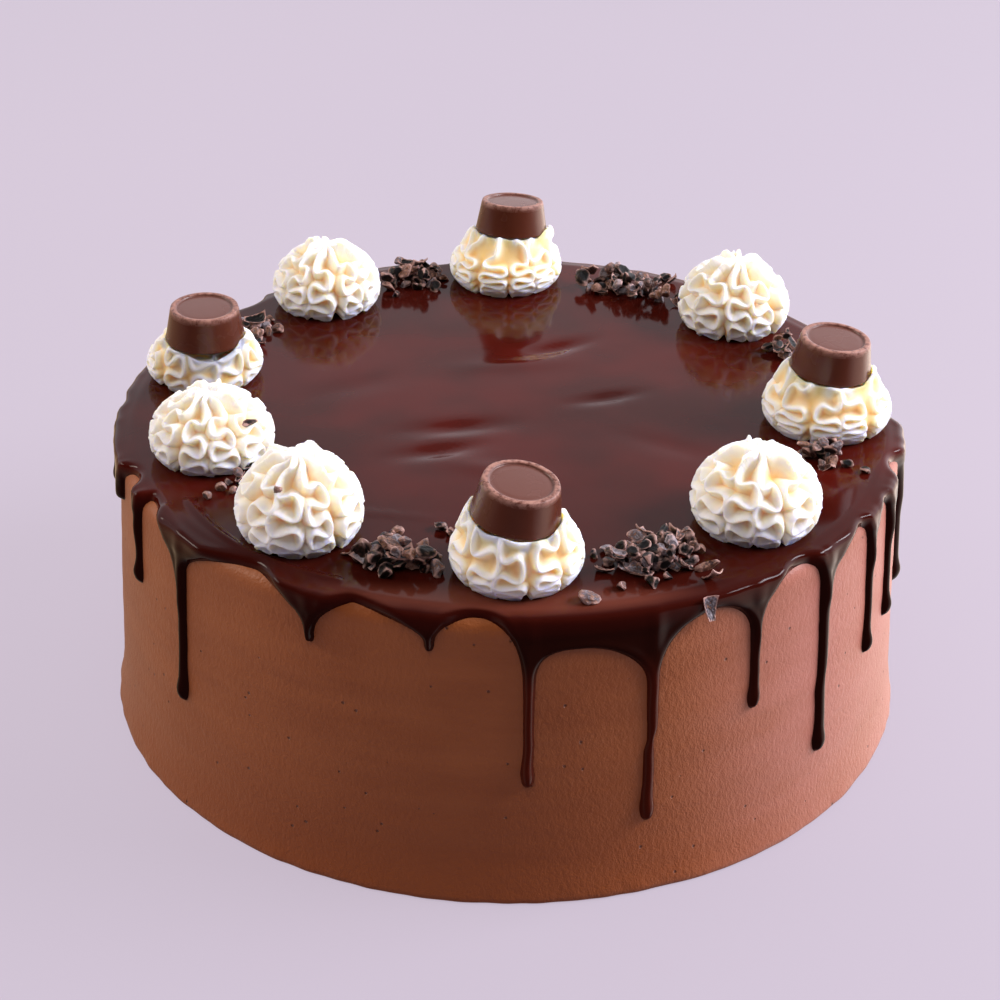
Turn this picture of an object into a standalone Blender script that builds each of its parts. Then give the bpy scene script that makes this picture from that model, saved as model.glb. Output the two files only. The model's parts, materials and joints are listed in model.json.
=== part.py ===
"""Chocolate truffle cake: a round cake iced with chocolate buttercream, a poured glaze that runs down
the side in drips, nine piped cream rosettes, four chocolate candies and heaps of cacao nibs.

Metres, +Z up. The origin is the centre of the flat base, and the front of the cake faces -Y. Angles
are in degrees, anticlockwise from +X, so the front is at -90. A "reach" is a distance down the cake's
outline, measured from the rim of its flat top, round the corner and down the side.
"""

import math
import random
from collections import namedtuple

import bmesh
import bpy
from mathutils import Matrix, Vector

MM = 0.001
GAP = 0.3 * MM  # between pieces that touch

# The cake under its glaze. Its side leans in towards the top.
CAKE_RADIUS = 103.0 * MM  # of the side, carried down to the base
CAKE_TOP = 75.1 * MM
LEAN = math.radians(3.0)
CORNER = 4.0 * MM  # rounding of the top edge
CORNER_STEPS = 3
FOOT_FLARE = 1.2 * MM  # how far the icing spreads at the base
FOOT_HEIGHT = 16.0 * MM
FOOT_EDGE = 0.8 * MM
CAKE_STEPS = 60

# The middle of the corner's rounding, and the reach at which the corner ends and the side begins.
CORNER_HEIGHT = CAKE_TOP - CORNER
CORNER_RADIUS = CAKE_RADIUS - CORNER_HEIGHT * math.tan(LEAN) - CORNER / math.cos(LEAN)
CORNER_TURN = math.pi / 2 - LEAN
CORNER_REACH = CORNER * CORNER_TURN

# The glaze.
GLAZE_GAP = 0.7 * MM
GLAZE_THICKNESS = 1.2 * MM
GLAZE_TOP = CAKE_TOP + GLAZE_GAP + GLAZE_THICKNESS
LEAST_REACH = 1.6 * MM
EDGE_STEP = 3.2  # degrees, the widest step along the glaze's edge

Drip = namedtuple("Drip", "angle tip width before after apex_angle apex")
# The tip's reach, the shaft's width, and the reaches at which the glaze's edge meets the shaft on the
# side before and after it; then the arch between this drip and the next: its top's angle and reach.
FRONT_DRIPS = (
    Drip(-163.5, 8.5, 4.0, 8.5, 8.5, -158.0, 1.6),
    Drip(-153.0, 26.2, 2.4, 9.6, 9.4, -150.6, 1.6),
    Drip(-139.6, 46.8, 2.7, 18.0, 11.0, -125.6, 1.6),
    Drip(-116.3, 14.3, 1.8, 12.0, 12.0, -110.5, 2.2),
    Drip(-99.9, 8.9, 2.0, 8.9, 8.9, -94.2, 2.1),
    Drip(-87.0, 45.2, 2.5, 20.0, 18.0, -79.8, 10.0),
    Drip(-70.7, 57.3, 2.7, 21.0, 19.8, -62.0, 5.6),
    Drip(-55.4, 34.8, 2.5, 15.0, 14.0, -47.3, 2.8),
    Drip(-42.0, 56.8, 3.0, 12.0, 13.4, -32.6, 3.4),
    Drip(-29.4, 40.6, 2.5, 12.0, 11.0, -24.2, 3.8),
    Drip(-21.0, 38.4, 2.5, 11.0, 12.0, -14.0, 2.0),
)
# The drips round the back are drawn at random between a least and a greatest value of each size.
BACK_DRIP_SEED = 5
BACK_DRIP_SPACING = (14.0, 21.0)  # degrees
BACK_DRIP_ROOM = 8.4  # degrees, the least that the last one leaves before the front ones begin again
BACK_DRIP_TIP = (15.0, 52.0)
BACK_DRIP_ROOT = (12.0, 18.0)
BACK_DRIP_WIDTH = (2.2, 2.9)
BACK_DRIP_APEX = (1.6, 5.5)
# A drip's sections from root to tip: share of the way down, width as a share of the shaft's, and how far
# the middle stands proud, in mm. Then the points across a section, as shares of its width and height.
DRIP_SECTIONS = (
    (0.0, 1.1, 1.4), (0.45, 0.82, 1.6), (0.86, 0.98, 1.9), (0.96, 0.92, 1.7), (1.0, 0.5, 0.8),
)
DRIP_ACROSS = ((-1.0, 0.0), (-0.8, 0.6), (0.0, 1.0), (0.8, 0.6), (1.0, 0.0))
DRIP_OVERLAP = 3.5  # mm that a drip runs up under the glaze's edge
DRIP_UNDERSIDE = GLAZE_GAP + 0.08 * MM

# Piped cream rosettes: centre, width and height, all in millimetres.
Rosette = namedtuple("Rosette", "name x y width height turn")
ROSETTES = (
    Rosette("front", 2.0, -80.9, 31.0, 16.6, 5.0),
    Rosette("front_right", 57.7, -56.7, 31.2, 19.8, 17.0),
    Rosette("right", 80.4, -4.6, 33.2, 15.6, 31.0),
    Rosette("back_right", 61.6, 54.9, 31.0, 19.8, 8.0),
    Rosette("back", -1.8, 83.6, 32.6, 14.6, 24.0),
    Rosette("back_left", -52.0, 64.7, 30.5, 18.4, 39.0),
    Rosette("left", -80.4, 18.0, 30.8, 13.4, 12.0),
    Rosette("left_front", -73.0, -26.5, 31.0, 17.4, 27.0),
    Rosette("front_left", -48.0, -64.8, 30.2, 21.0, 3.0),
)
RIDGES = 8
RIDGE_DEPTH = 3.4  # mm
RIDGE_SECTION = (0.0, 0.45, 1.0, 0.45)  # depth of crest, flank, groove and flank, as a share of it
RIDGE_SWAY = 9.0  # degrees that a ridge swings to each side on its way down
ROSETTE_RINGS = (-33.0, -9.0, 14.0, 37.0, 58.0, 76.0)  # degrees round the dome's section
ROSETTE_WAIST = 0.32  # height of the widest ring, as a share of the whole
ROSETTE_TIP = 0.12  # width of the flat at the peak, as a share of the last ring's

# Candies: truncated cones with a sunk disc on top. Centre of the base in millimetres, and the lean.
Candy = namedtuple("Candy", "name x y base lean_angle lean")
CANDIES = (
    Candy("front", 1.4, -83.6, 91.4, -32.0, 9.0),
    Candy("right", 80.2, -5.6, 90.6, -20.0, 5.0),
    Candy("back", -0.4, 86.0, 89.4, 75.0, 7.5),
    Candy("left", -79.2, 13.4, 87.9, -60.0, 2.0),
)
CANDY_RADIUS = 10.6 * MM
CANDY_TOP_RADIUS = 8.7 * MM
CANDY_HEIGHT = 10.6 * MM
CANDY_EDGE = 0.6 * MM
CANDY_RIM = 1.3 * MM
CANDY_SINK = 0.5 * MM
CANDY_STEPS = 20

# Heaps of cacao nibs: angle and radius of the middle, spread along and across, number of nibs.
Heap = namedtuple("Heap", "angle radius along across count tall")
HEAPS = (
    Heap(-106.2, 83.2, 8.5, 6.0, 10, 2),
    Heap(-66.6, 83.2, 9.5, 6.5, 14, 3),
    Heap(-21.6, 83.4, 5.5, 4.5, 5, 0),
    Heap(26.0, 83.0, 5.0, 4.5, 5, 0),
    Heap(66.5, 83.0, 12.5, 5.5, 12, 2),
    Heap(110.0, 84.0, 7.5, 5.5, 7, 1),
    Heap(148.5, 83.5, 6.5, 5.0, 5, 0),
    Heap(-148.6, 77.5, 5.5, 3.5, 3, 0),
)
LONE_NIBS = ((-79.2, 94.2), (-64.6, 95.6), (-20.4, 92.6))  # angle, radius
LONE_NIB_SIZE = 1.5 * MM
NIB_SIZES = (1.1, 1.9)  # least and greatest radius, mm
NIB_STRETCH = ((0.9, 1.5), (0.75, 1.05), (0.7, 0.95))
NIB_DENTS = (0.78, 1.12)
NIB_TILT = 0.4  # radians
NIB_SUNK = 0.45  # height of a nib's middle above the glaze, in radii
NIB_RISE = 0.52  # height of an upper nib over the one it lies on, in both their radii
NIB_APART = 0.8  # least distance between two nibs that lie on the glaze, in both their radii
NIB_TRIES = 40
NIB_SEED = 23
ROSETTE_NIBS = (("left_front", -32.0, 34.0), ("front_left", -112.0, 44.0))  # angle, height on the dome
ROSETTE_NIB_DEPTH = 1.8  # mm
ROSETTE_NIB_SIZE = 1.6 * MM

COLOURS = {
    "buttercream": ((0.255, 0.098, 0.052), 0.62),
    "glaze": ((0.040, 0.010, 0.005), 0.12),
    "cream": ((0.87, 0.80, 0.62), 0.45),
    "candy": ((0.135, 0.047, 0.030), 0.35),
}


def material(name):
    """A plain finish in the colour and roughness that COLOURS gives."""
    colour, roughness = COLOURS[name]
    finish = bpy.data.materials.new(name)
    finish.use_nodes = True
    shader = finish.node_tree.nodes["Principled BSDF"]
    shader.inputs["Base Color"].default_value = (*colour, 1.0)
    shader.inputs["Roughness"].default_value = roughness
    return finish


def new_object(name, mesh, collection, finish=None):
    obj = bpy.data.objects.new(name, mesh)
    collection.objects.link(obj)
    if finish:
        mesh.materials.append(finish)
    return obj


def new_collection(name):
    collection = bpy.data.collections.new(name)
    bpy.context.scene.collection.children.link(collection)
    return collection


def mesh_of(name, bm):
    """A mesh from a bmesh, with its faces turned outwards."""
    bmesh.ops.recalc_face_normals(bm, faces=bm.faces)
    mesh = bpy.data.meshes.new(name)
    bm.to_mesh(mesh)
    bm.free()
    return mesh


def loft(name, rings):
    """A closed mesh through rings of equally many points, with a flat face on its first and last."""
    bm = bmesh.new()
    rows = [[bm.verts.new(point) for point in ring] for ring in rings]
    for upper, lower in zip(rows, rows[1:]):
        for k in range(len(upper)):
            bm.faces.new((upper[k - 1], upper[k], lower[k], lower[k - 1]))
    bm.faces.new(rows[0])
    bm.faces.new(reversed(rows[-1]))
    return mesh_of(name, bm)


def turned(name, profile, steps, collection, finish=None):
    """A solid of revolution, from a profile that runs down its outer side from axis to axis."""
    mesh = bpy.data.meshes.new(name)
    points = [(radius, 0.0, height) for radius, height in profile]
    mesh.from_pydata(points, [(k, k + 1) for k in range(len(points) - 1)], [])
    obj = new_object(name, mesh, collection, finish)
    screw = obj.modifiers.new("turn", "SCREW")
    screw.steps = screw.render_steps = steps
    screw.use_merge_vertices = True
    screw.merge_threshold = 0.00001
    return obj


def as_mesh(obj):
    """Applies the object's modifiers and leaves it with the plain mesh that they made."""
    bpy.context.view_layer.update()
    evaluated = obj.evaluated_get(bpy.context.evaluated_depsgraph_get())
    mesh = bpy.data.meshes.new_from_object(evaluated)
    obj.modifiers.clear()
    obj.data = mesh
    return obj


def fuse(obj, additions):
    """Joins every object of a collection to this one by a Boolean union, and removes the collection."""
    union = obj.modifiers.new("fuse", "BOOLEAN")
    union.operation = "UNION"
    union.operand_type = "COLLECTION"
    union.collection = additions
    as_mesh(obj)
    for extra in list(additions.objects):
        bpy.data.objects.remove(extra)
    bpy.data.collections.remove(additions)


def at(angle, radius, height):
    return Vector((radius * math.cos(math.radians(angle)), radius * math.sin(math.radians(angle)), height))


def on_outline(angle, reach, offset):
    """The point this far down the cake's outline, and this far outside it."""
    bend = min(reach, CORNER_REACH) / CORNER
    fall = max(0.0, reach - CORNER_REACH)
    radius = CORNER_RADIUS + (CORNER + offset) * math.sin(bend) + fall * math.sin(LEAN)
    return at(angle, radius, CORNER_HEIGHT + (CORNER + offset) * math.cos(bend) - fall * math.cos(LEAN))


def make_cake(collection):
    profile = [(0.0, CAKE_TOP)]
    for step in range(CORNER_STEPS + 1):
        point = on_outline(0.0, CORNER_REACH * step / CORNER_STEPS, 0.0)
        profile.append((point.x, point.z))
    for share in (1.0, 0.5, 0.0):
        height = FOOT_EDGE + (FOOT_HEIGHT - FOOT_EDGE) * share
        flare = FOOT_FLARE * (1 - share) ** 2
        profile.append((CAKE_RADIUS - height * math.tan(LEAN) + flare, height))
    profile.append((CAKE_RADIUS + FOOT_FLARE - FOOT_EDGE, 0.0))
    profile.append((0.0, 0.0))
    return turned("cake", profile, CAKE_STEPS, collection, material("buttercream"))


def all_drips():
    """The drips at the front, and more of the same kind round the back, in order of angle."""
    rng = random.Random(BACK_DRIP_SEED)
    drips = list(FRONT_DRIPS)
    first_angle = FRONT_DRIPS[0].angle + 360.0
    angle = FRONT_DRIPS[-1].angle + BACK_DRIP_SPACING[0]
    last_angle = first_angle - BACK_DRIP_ROOM
    while angle < last_angle:
        spacing = rng.uniform(*BACK_DRIP_SPACING)
        if angle + spacing > last_angle:
            spacing = first_angle - angle
        tip = rng.uniform(*BACK_DRIP_TIP)
        root = min(rng.uniform(*BACK_DRIP_ROOT), tip - 2.0)
        apex_angle = angle + spacing * rng.uniform(0.42, 0.58)
        width = rng.uniform(*BACK_DRIP_WIDTH)
        after = root * rng.uniform(0.88, 1.0)
        drips.append(Drip(angle, tip, width, root, after, apex_angle, rng.uniform(*BACK_DRIP_APEX)))
        angle += spacing
    return drips


def edge_columns(drips):
    """(angle, reach) of the glaze's lower edge: arches of quarter ellipses between the drips."""
    columns = []
    for k, drip in enumerate(drips):
        following = drips[(k + 1) % len(drips)]
        next_angle = following.angle + (360.0 if following.angle < drip.angle else 0.0)
        half = math.degrees(drip.width * MM / 2 / CAKE_RADIUS)
        next_half = math.degrees(following.width * MM / 2 / CAKE_RADIUS)
        for shaft_angle, root, falling in (
            (drip.angle + half, drip.after, True), (next_angle - next_half, following.before, False),
        ):
            span = shaft_angle - drip.apex_angle
            count = max(2, math.ceil(abs(span) / EDGE_STEP))
            steps = range(count, 0, -1) if falling else range(count + 1)
            for turn in (math.pi / 2 * step / count for step in steps):
                reach = drip.apex + (root - drip.apex) * (1 - math.cos(turn))
                columns.append((drip.apex_angle + span * math.sin(turn), max(reach * MM, LEAST_REACH)))
    return columns


def glaze_skin(columns):
    """The sheet over the top and down to its lower edge, closed underneath."""
    steps = range(CORNER_STEPS + 1)
    corner_rows = [(k / (CORNER_STEPS + 1), CORNER_REACH * k / CORNER_STEPS) for k in steps]
    outer = [(*row, 1.0) for row in corner_rows] + [(0.93, 1.0, 0.85), (1.0, 1.0, 0.3)]
    inner = [(1.0, 1.0, 0.0)] + [(*row, 0.0) for row in reversed(corner_rows)]
    rings = []
    for share, most, thickness in outer + inner:
        offset = GLAZE_GAP + GLAZE_THICKNESS * thickness
        rings.append([on_outline(angle, min(reach * share, most), offset) for angle, reach in columns])
    return loft("glaze", rings)


def drip_mesh(drip):
    """A run of glaze down the side, from under the skin's edge to its rounded tip."""
    start = max((min(drip.before, drip.after) - DRIP_OVERLAP) * MM, CORNER_REACH)
    rings = []
    for share, widening, height in DRIP_SECTIONS:
        reach = start + (drip.tip * MM - start) * share
        ring = []
        for side, rise in DRIP_ACROSS:
            turn = math.degrees(side * widening * drip.width * MM / 2 / CAKE_RADIUS)
            ring.append(on_outline(drip.angle + turn, reach, DRIP_UNDERSIDE + rise * height * MM))
        rings.append(ring)
    return loft("drip", rings)


def nib_mesh(rng, centre, size):
    """An angular crumb of cacao bean: a stretched, dented icosahedron."""
    bm = bmesh.new()
    bmesh.ops.create_icosphere(bm, subdivisions=1, radius=size)
    stretch = Vector([rng.uniform(*limits) for limits in NIB_STRETCH])
    turn = Matrix.Rotation(rng.uniform(0, math.tau), 4, "Z")
    turn = turn @ Matrix.Rotation(rng.uniform(-NIB_TILT, NIB_TILT), 4, "X")
    for vert in bm.verts:
        vert.co = centre + turn @ (vert.co * stretch * rng.uniform(*NIB_DENTS))
    return mesh_of("nib", bm)


def clear_of_rosettes(point, size):
    for rosette in ROSETTES:
        room = rosette.width / 2 * MM + size * 1.5 + GAP
        if math.hypot(point.x - rosette.x * MM, point.y - rosette.y * MM) < room:
            return False
    return True


def nib_places(rng):
    """(centre, radius) of each nib: lone ones, and heaps that are denser and taller in the middle."""
    places = []
    for angle, radius in LONE_NIBS:
        places.append((at(angle, radius * MM, GLAZE_TOP + LONE_NIB_SIZE * NIB_SUNK), LONE_NIB_SIZE))
    for heap in HEAPS:
        placed = []
        for _ in range(heap.count * NIB_TRIES):
            if len(placed) == heap.count:
                break
            size = rng.uniform(*NIB_SIZES) * MM
            spread = rng.gauss(0, 0.5), rng.gauss(0, 0.5)
            angle = heap.angle + math.degrees(spread[0] * heap.along / heap.radius)
            point = at(angle, (heap.radius + spread[1] * heap.across) * MM, GLAZE_TOP + size * NIB_SUNK)
            apart = all((point - other).length > (size + radius) * NIB_APART for other, radius in placed)
            if apart and clear_of_rosettes(point, size):
                placed.append((point, size))
        middle = at(heap.angle, heap.radius * MM, GLAZE_TOP)
        placed.sort(key=lambda place: (place[0] - middle).length)
        for point, size in placed[:heap.tall]:
            upper = rng.uniform(*NIB_SIZES) * MM
            placed.append((point + Vector((0.0, 0.0, (size + upper) * NIB_RISE)), upper))
        places += placed
    return places


def make_glaze(collection):
    drips = all_drips()
    glaze = new_object("glaze", glaze_skin(edge_columns(drips)), collection, material("glaze"))
    additions = new_collection("on_the_glaze")
    for drip in drips:
        if drip.tip > drip.before:
            new_object("drip", drip_mesh(drip), additions)
    rng = random.Random(NIB_SEED)
    for centre, size in nib_places(rng):
        new_object("nib", nib_mesh(rng, centre, size), additions)
    fuse(glaze, additions)
    return glaze


def dome_point(rosette, bend, angle, inset):
    """A point of the rosette's rounded form, this many millimetres inside its outline."""
    waist = rosette.height * ROSETTE_WAIST
    lowest = math.sin(math.radians(ROSETTE_RINGS[0]))
    rise = math.sin(math.radians(bend))
    height = waist * (1 - rise / lowest) if bend < 0 else waist + (rosette.height - waist) * rise
    radius = rosette.width / 2 * math.cos(math.radians(bend)) - inset
    centre = Vector((rosette.x * MM, rosette.y * MM, GLAZE_TOP + GAP))
    return centre + at(angle, radius * MM, height * MM)


def rosette_mesh(rosette):
    """A piped rosette: deep ridges from the peak to the base, swaying as they go."""
    columns = len(RIDGE_SECTION)
    count = RIDGES * columns
    rings = []
    for row, bend in enumerate(ROSETTE_RINGS):
        sway = RIDGE_SWAY * (1 if row % 2 else -1)
        inset = RIDGE_DEPTH * min(1.0, math.cos(math.radians(bend)) * 1.3)
        rings.append([
            dome_point(rosette, bend, rosette.turn + sway + 360.0 * k / count,
                       inset * RIDGE_SECTION[k % columns])
            for k in range(count)
        ])
    top = dome_point(rosette, 90.0, 0.0, 0.0)
    rings.append([top + (point - top) * ROSETTE_TIP + Vector((0, 0, GAP)) for point in rings[-1]])
    return loft("rosette", rings)


def make_rosettes(collection):
    cream = material("cream")
    for rosette in ROSETTES:
        obj = new_object("rosette_" + rosette.name, rosette_mesh(rosette), collection, cream)
        nibs = [nib for nib in ROSETTE_NIBS if nib[0] == rosette.name]
        if nibs:
            additions = new_collection("on_the_rosette")
            for _, angle, bend in nibs:
                rng = random.Random(NIB_SEED)
                centre = dome_point(rosette, bend, angle, ROSETTE_NIB_DEPTH)
                new_object("nib", nib_mesh(rng, centre, ROSETTE_NIB_SIZE), additions)
            fuse(obj, additions)


def lean(candy):
    """Where a candy stands: its base's centre, leaning towards lean_angle."""
    direction = math.radians(candy.lean_angle)
    axis = Vector((-math.sin(direction), math.cos(direction), 0.0))
    place = Matrix.Translation((candy.x * MM, candy.y * MM, candy.base * MM))
    return place @ Matrix.Rotation(math.radians(candy.lean), 4, axis)


def make_candies(collection, cutters):
    """Each candy, and the socket that it has pressed into its rosette."""
    chocolate = material("candy")
    slope = (CANDY_RADIUS - CANDY_TOP_RADIUS) / CANDY_HEIGHT
    disc = CANDY_TOP_RADIUS - CANDY_RIM
    profile = (
        (0.0, CANDY_HEIGHT - CANDY_SINK),
        (disc - CANDY_SINK, CANDY_HEIGHT - CANDY_SINK),
        (disc, CANDY_HEIGHT),
        (CANDY_TOP_RADIUS - CANDY_EDGE, CANDY_HEIGHT),
        (CANDY_TOP_RADIUS + CANDY_EDGE * slope, CANDY_HEIGHT - CANDY_EDGE),
        (CANDY_RADIUS - CANDY_EDGE * slope, CANDY_EDGE),
        (CANDY_RADIUS - CANDY_EDGE, 0.0),
        (0.0, 0.0),
    )
    socket = (
        (0.0, CANDY_HEIGHT * 2),
        (CANDY_RADIUS + GAP, CANDY_HEIGHT * 2),
        (CANDY_RADIUS + GAP, CANDY_EDGE - GAP),
        (CANDY_RADIUS - CANDY_EDGE + GAP, -GAP),
        (0.0, -GAP),
    )
    for candy in CANDIES:
        obj = turned("candy_" + candy.name, profile, CANDY_STEPS, collection, chocolate)
        obj.matrix_world = lean(candy)
        cutter = turned("socket_" + candy.name, socket, CANDY_STEPS, cutters)
        cutter.matrix_world = lean(candy)
        cutter.hide_render = True
        cutter.display_type = "WIRE"
        cut = bpy.data.objects["rosette_" + candy.name].modifiers.new("socket", "BOOLEAN")
        cut.operation = "DIFFERENCE"
        cut.object = cutter


def main():
    for obj in list(bpy.data.objects):
        bpy.data.objects.remove(obj)
    cake = new_collection("chocolate_truffle_cake")
    cutters = new_collection("cutters")
    make_cake(cake)
    make_glaze(cake)
    make_rosettes(cake)
    make_candies(cake, cutters)


main()
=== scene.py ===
"""Chocolate truffle cake: the fine form and the finish of every piece, fitted to the cake's solids.

Run as a script, it dresses the whole cake. Registered, it lists one button for each group of pieces in
the Cake tab of the 3D view's sidebar. Metres, +Z up, and the front of the cake faces -Y. Angles are in
degrees, anticlockwise from +X, so the front is at -90. A "reach" is a distance down the cake's outline,
measured from the rim of its flat top, round the corner and down the side.
"""

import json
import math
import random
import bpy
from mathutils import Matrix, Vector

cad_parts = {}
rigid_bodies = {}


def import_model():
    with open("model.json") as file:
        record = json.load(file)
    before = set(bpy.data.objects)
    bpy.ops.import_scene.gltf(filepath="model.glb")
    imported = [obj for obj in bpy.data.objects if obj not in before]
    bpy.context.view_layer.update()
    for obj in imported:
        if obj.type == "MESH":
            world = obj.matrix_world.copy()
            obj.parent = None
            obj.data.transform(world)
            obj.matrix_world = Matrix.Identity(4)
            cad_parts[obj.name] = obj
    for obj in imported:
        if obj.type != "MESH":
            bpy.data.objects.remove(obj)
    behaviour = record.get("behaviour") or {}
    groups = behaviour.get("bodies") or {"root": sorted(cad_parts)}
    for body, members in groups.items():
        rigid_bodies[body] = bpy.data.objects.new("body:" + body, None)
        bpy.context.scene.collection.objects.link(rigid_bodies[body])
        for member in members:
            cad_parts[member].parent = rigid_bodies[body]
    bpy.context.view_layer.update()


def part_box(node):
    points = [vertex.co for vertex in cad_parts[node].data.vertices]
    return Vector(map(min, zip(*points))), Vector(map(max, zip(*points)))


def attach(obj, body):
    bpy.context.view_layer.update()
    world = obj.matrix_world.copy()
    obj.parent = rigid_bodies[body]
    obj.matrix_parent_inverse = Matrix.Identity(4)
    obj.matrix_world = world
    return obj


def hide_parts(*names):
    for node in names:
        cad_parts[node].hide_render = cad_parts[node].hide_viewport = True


bl_info = {
    "name": "Chocolate Truffle Cake",
    "version": (1, 0, 0),
    "blender": (4, 5, 0),
    "location": "View3D > Sidebar > Cake",
    "description": "Makes a glazed chocolate cake with piped cream, candies and cacao nibs",
    "category": "Object",
}

from collections import namedtuple

import bmesh
import bpy
import numpy as np
from mathutils import Matrix, Vector, noise
from mathutils.kdtree import KDTree

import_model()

MM = 0.001
UP = (0.0, 0.0, 1.0)

# The cake under its glaze, whose side leans in towards the top.
_, CAKE_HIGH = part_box("cake")
CAKE_TOP = CAKE_HIGH.z
LEAN = math.radians(3.0)
CORNER = 4.0 * MM  # rounding of the top edge
FOOT_FLARE = 1.2 * MM  # how far the icing spreads at the base
FOOT_HEIGHT = 16.0 * MM
FOOT_EDGE = 0.8 * MM
CAKE_RADIUS = CAKE_HIGH.x + FOOT_EDGE * math.tan(LEAN) - FOOT_FLARE  # of the side, carried down to the base

# The middle of the corner's rounding, and the reaches at which the side begins and ends.
CORNER_HEIGHT = CAKE_TOP - CORNER
CORNER_RADIUS = CAKE_RADIUS - CORNER_HEIGHT * math.tan(LEAN) - CORNER / math.cos(LEAN)
CORNER_REACH = CORNER * (math.pi / 2 - LEAN)
SIDE_END = CORNER_REACH + (CORNER_HEIGHT + CORNER * math.sin(LEAN) - FOOT_EDGE) / math.cos(LEAN)

# The icing's rows of points: rings in its top, as shares of the top's radius, then the corner and the side.
ICING_COLUMNS = 480
ICING_TOP_RINGS = (0.12, 0.35, 0.6, 0.8, 0.93)
ICING_CORNER_ROWS = 6
ICING_SIDE_ROWS = 76
# Sizes of the icing's unevenness. The bands are much longer round the cake than they are high.
WAVE_SIZE = 26 * MM
BAND_SIZE = 4.5 * MM
BAND_SHARES = np.array((0.15, 0.15, 1.0))
RAG_SIZE = 5.5 * MM
GLAZED_REACH = 22  # mm, down to which the glaze covers most of the icing, which is evener there

GLAZE_TOP = CAKE_TOP + 1.9 * MM

Drip = namedtuple("Drip", "angle tip width before after apex_angle apex")
# The tip's reach, the run's width, and the reaches at which the glaze's edge meets the run on the side
# before and after it; then the arch between this drip and the next: its top's angle and reach.
FRONT_DRIPS = (
    Drip(-163.5, 8.5, 4.0, 8.5, 8.5, -158.0, 1.6),
    Drip(-153.0, 26.2, 2.4, 9.6, 9.4, -150.6, 1.6),
    Drip(-139.6, 46.8, 2.7, 18.0, 11.0, -125.6, 1.6),
    Drip(-116.3, 14.3, 1.8, 12.0, 12.0, -110.5, 2.2),
    Drip(-99.9, 8.9, 2.0, 8.9, 8.9, -94.2, 2.1),
    Drip(-87.0, 45.2, 2.5, 20.0, 18.0, -79.8, 10.0),
    Drip(-70.7, 57.3, 2.7, 21.0, 19.8, -62.0, 5.6),
    Drip(-55.4, 34.8, 2.5, 15.0, 14.0, -47.3, 2.8),
    Drip(-42.0, 56.8, 3.0, 12.0, 13.4, -32.6, 3.4),
    Drip(-29.4, 40.6, 2.5, 12.0, 11.0, -24.2, 3.8),
    Drip(-21.0, 38.4, 2.5, 11.0, 12.0, -14.0, 2.0),
)
# How sharply the arches before and after a front drip turn down into it: 1 is a quarter of an ellipse.
ARCH_POWERS = {
    2: (0.85, 0.75), 3: (0.65, 0.65), 4: (0.65, 0.85), 5: (1.2, 1.6), 6: (0.9, 1.0), 7: (1.0, 0.95),
    8: (1.15, 0.85),
}
# Where a front drip has a neck: share of the way down, and how far it steps sideways there, in mm.
DRIP_NECKS = {6: (0.45, -0.8), 8: (0.55, -0.4)}
NO_NECK = (0.5, 0.0)
BACK_DRIP_SEED = 5
BACK_DRIP_SPACING = (14.0, 21.0)  # degrees
BACK_DRIP_ROOM = 8.4  # degrees, the least that the last one leaves before the front ones begin again
BACK_DRIP_TIP = (15.0, 52.0)
BACK_DRIP_ROOT = (12.0, 18.0)
BACK_DRIP_WIDTH = (2.2, 2.9)
BACK_DRIP_APEX = (1.6, 5.5)
LEAST_REACH = 1.6

# The glaze's form, in millimetres.
EDGE_RADIUS = 100.0  # at which an angle is turned into a distance across the side
RUN_WIDENING = 1.1
RUN_THINNING = 0.13  # share of its width that a run loses half way down
NECK_THINNING = 0.4  # share that it loses in a neck, for each mm of the step
TIP_SWELLING = 0.16  # share that it gains just above its tip
BLUNTNESS = 0.75  # how much of a run's length its round tip takes, as a share of its width
TIP_STRETCH = 1.7  # length of the round tip, as a share of half of the run's width
RUN_SPREAD = 3.0  # from the middle of a run, over which the glaze has the run's height
BEAD_REACH = 3.0  # how far above a run's tip its bead is highest, and how far that goes up and down
BEAD_LENGTH = 2.6
KEEL_SPREAD = 1.9
KEEL_START = (1.5, 6.0)  # reaches between which a keel begins
SKIRT_START = (3.0, 8.0)  # reaches between which the glaze thins to the skirt's thickness
BRINK_REACH = 3.2  # of the swelling along the upper edge
LIP_INSET = 1.5  # how far inside the glaze's lower edge its lip stands
LIP_START = (0.5, 4.0)  # reaches between which the lip begins, and those between which it ends
LIP_END = (14.0, 20.0)
EDGE_STEP = 0.12  # between the points of the glaze's edge
ROUNDING = 1.5  # distance from the edge over which the glaze rises to its full height
TIP_ROUNDING = 1.1  # how much greater that distance is at a run's tip
TIP_LENGTH = 2.4
SWELL_SIZE = 24 * MM
UNDERSIDE = -0.85
DIVE = 2.6  # slope at which the glaze's edge goes down into the icing
COLUMNS = 1152  # round the cake, halved towards the middle
BLOCK = 4  # quads of the upper side over one face of the underside
FINE_STEP = 0.45
FINE_ROWS = 64
COARSE_STEP = 0.6
COARSE_ROWS = 60
FIRST_REACH = -4.5
CAP_STEP = 1.6
CAP_HALVING = {576: 60.0, 288: 32.0, 144: 15.0}  # a ring of so many points is the last within this radius
NEAR_SPACING = 0.3
FAR_SPACING = 0.85
NEAR_DRIP = 3.4

# Long ripples that the pouring left near the left of the rim: (angle, reach) points, height and width, mm.
Ripple = namedtuple("Ripple", "points height width")
RIPPLES = (
    Ripple(((-146.0, -4.0), (-143.0, -3.2), (-136.0, -1.6), (-128.6, -0.5), (-113.7, -1.0)), 0.75, 0.8),
    Ripple(((-146.5, 1.2), (-139.0, 3.0), (-131.0, 4.2), (-126.0, 3.0)), 0.75, 0.7),
    Ripple(((-123.5, 2.2), (-117.0, 3.6), (-111.0, 3.8)), 0.75, 0.65),
)
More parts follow.
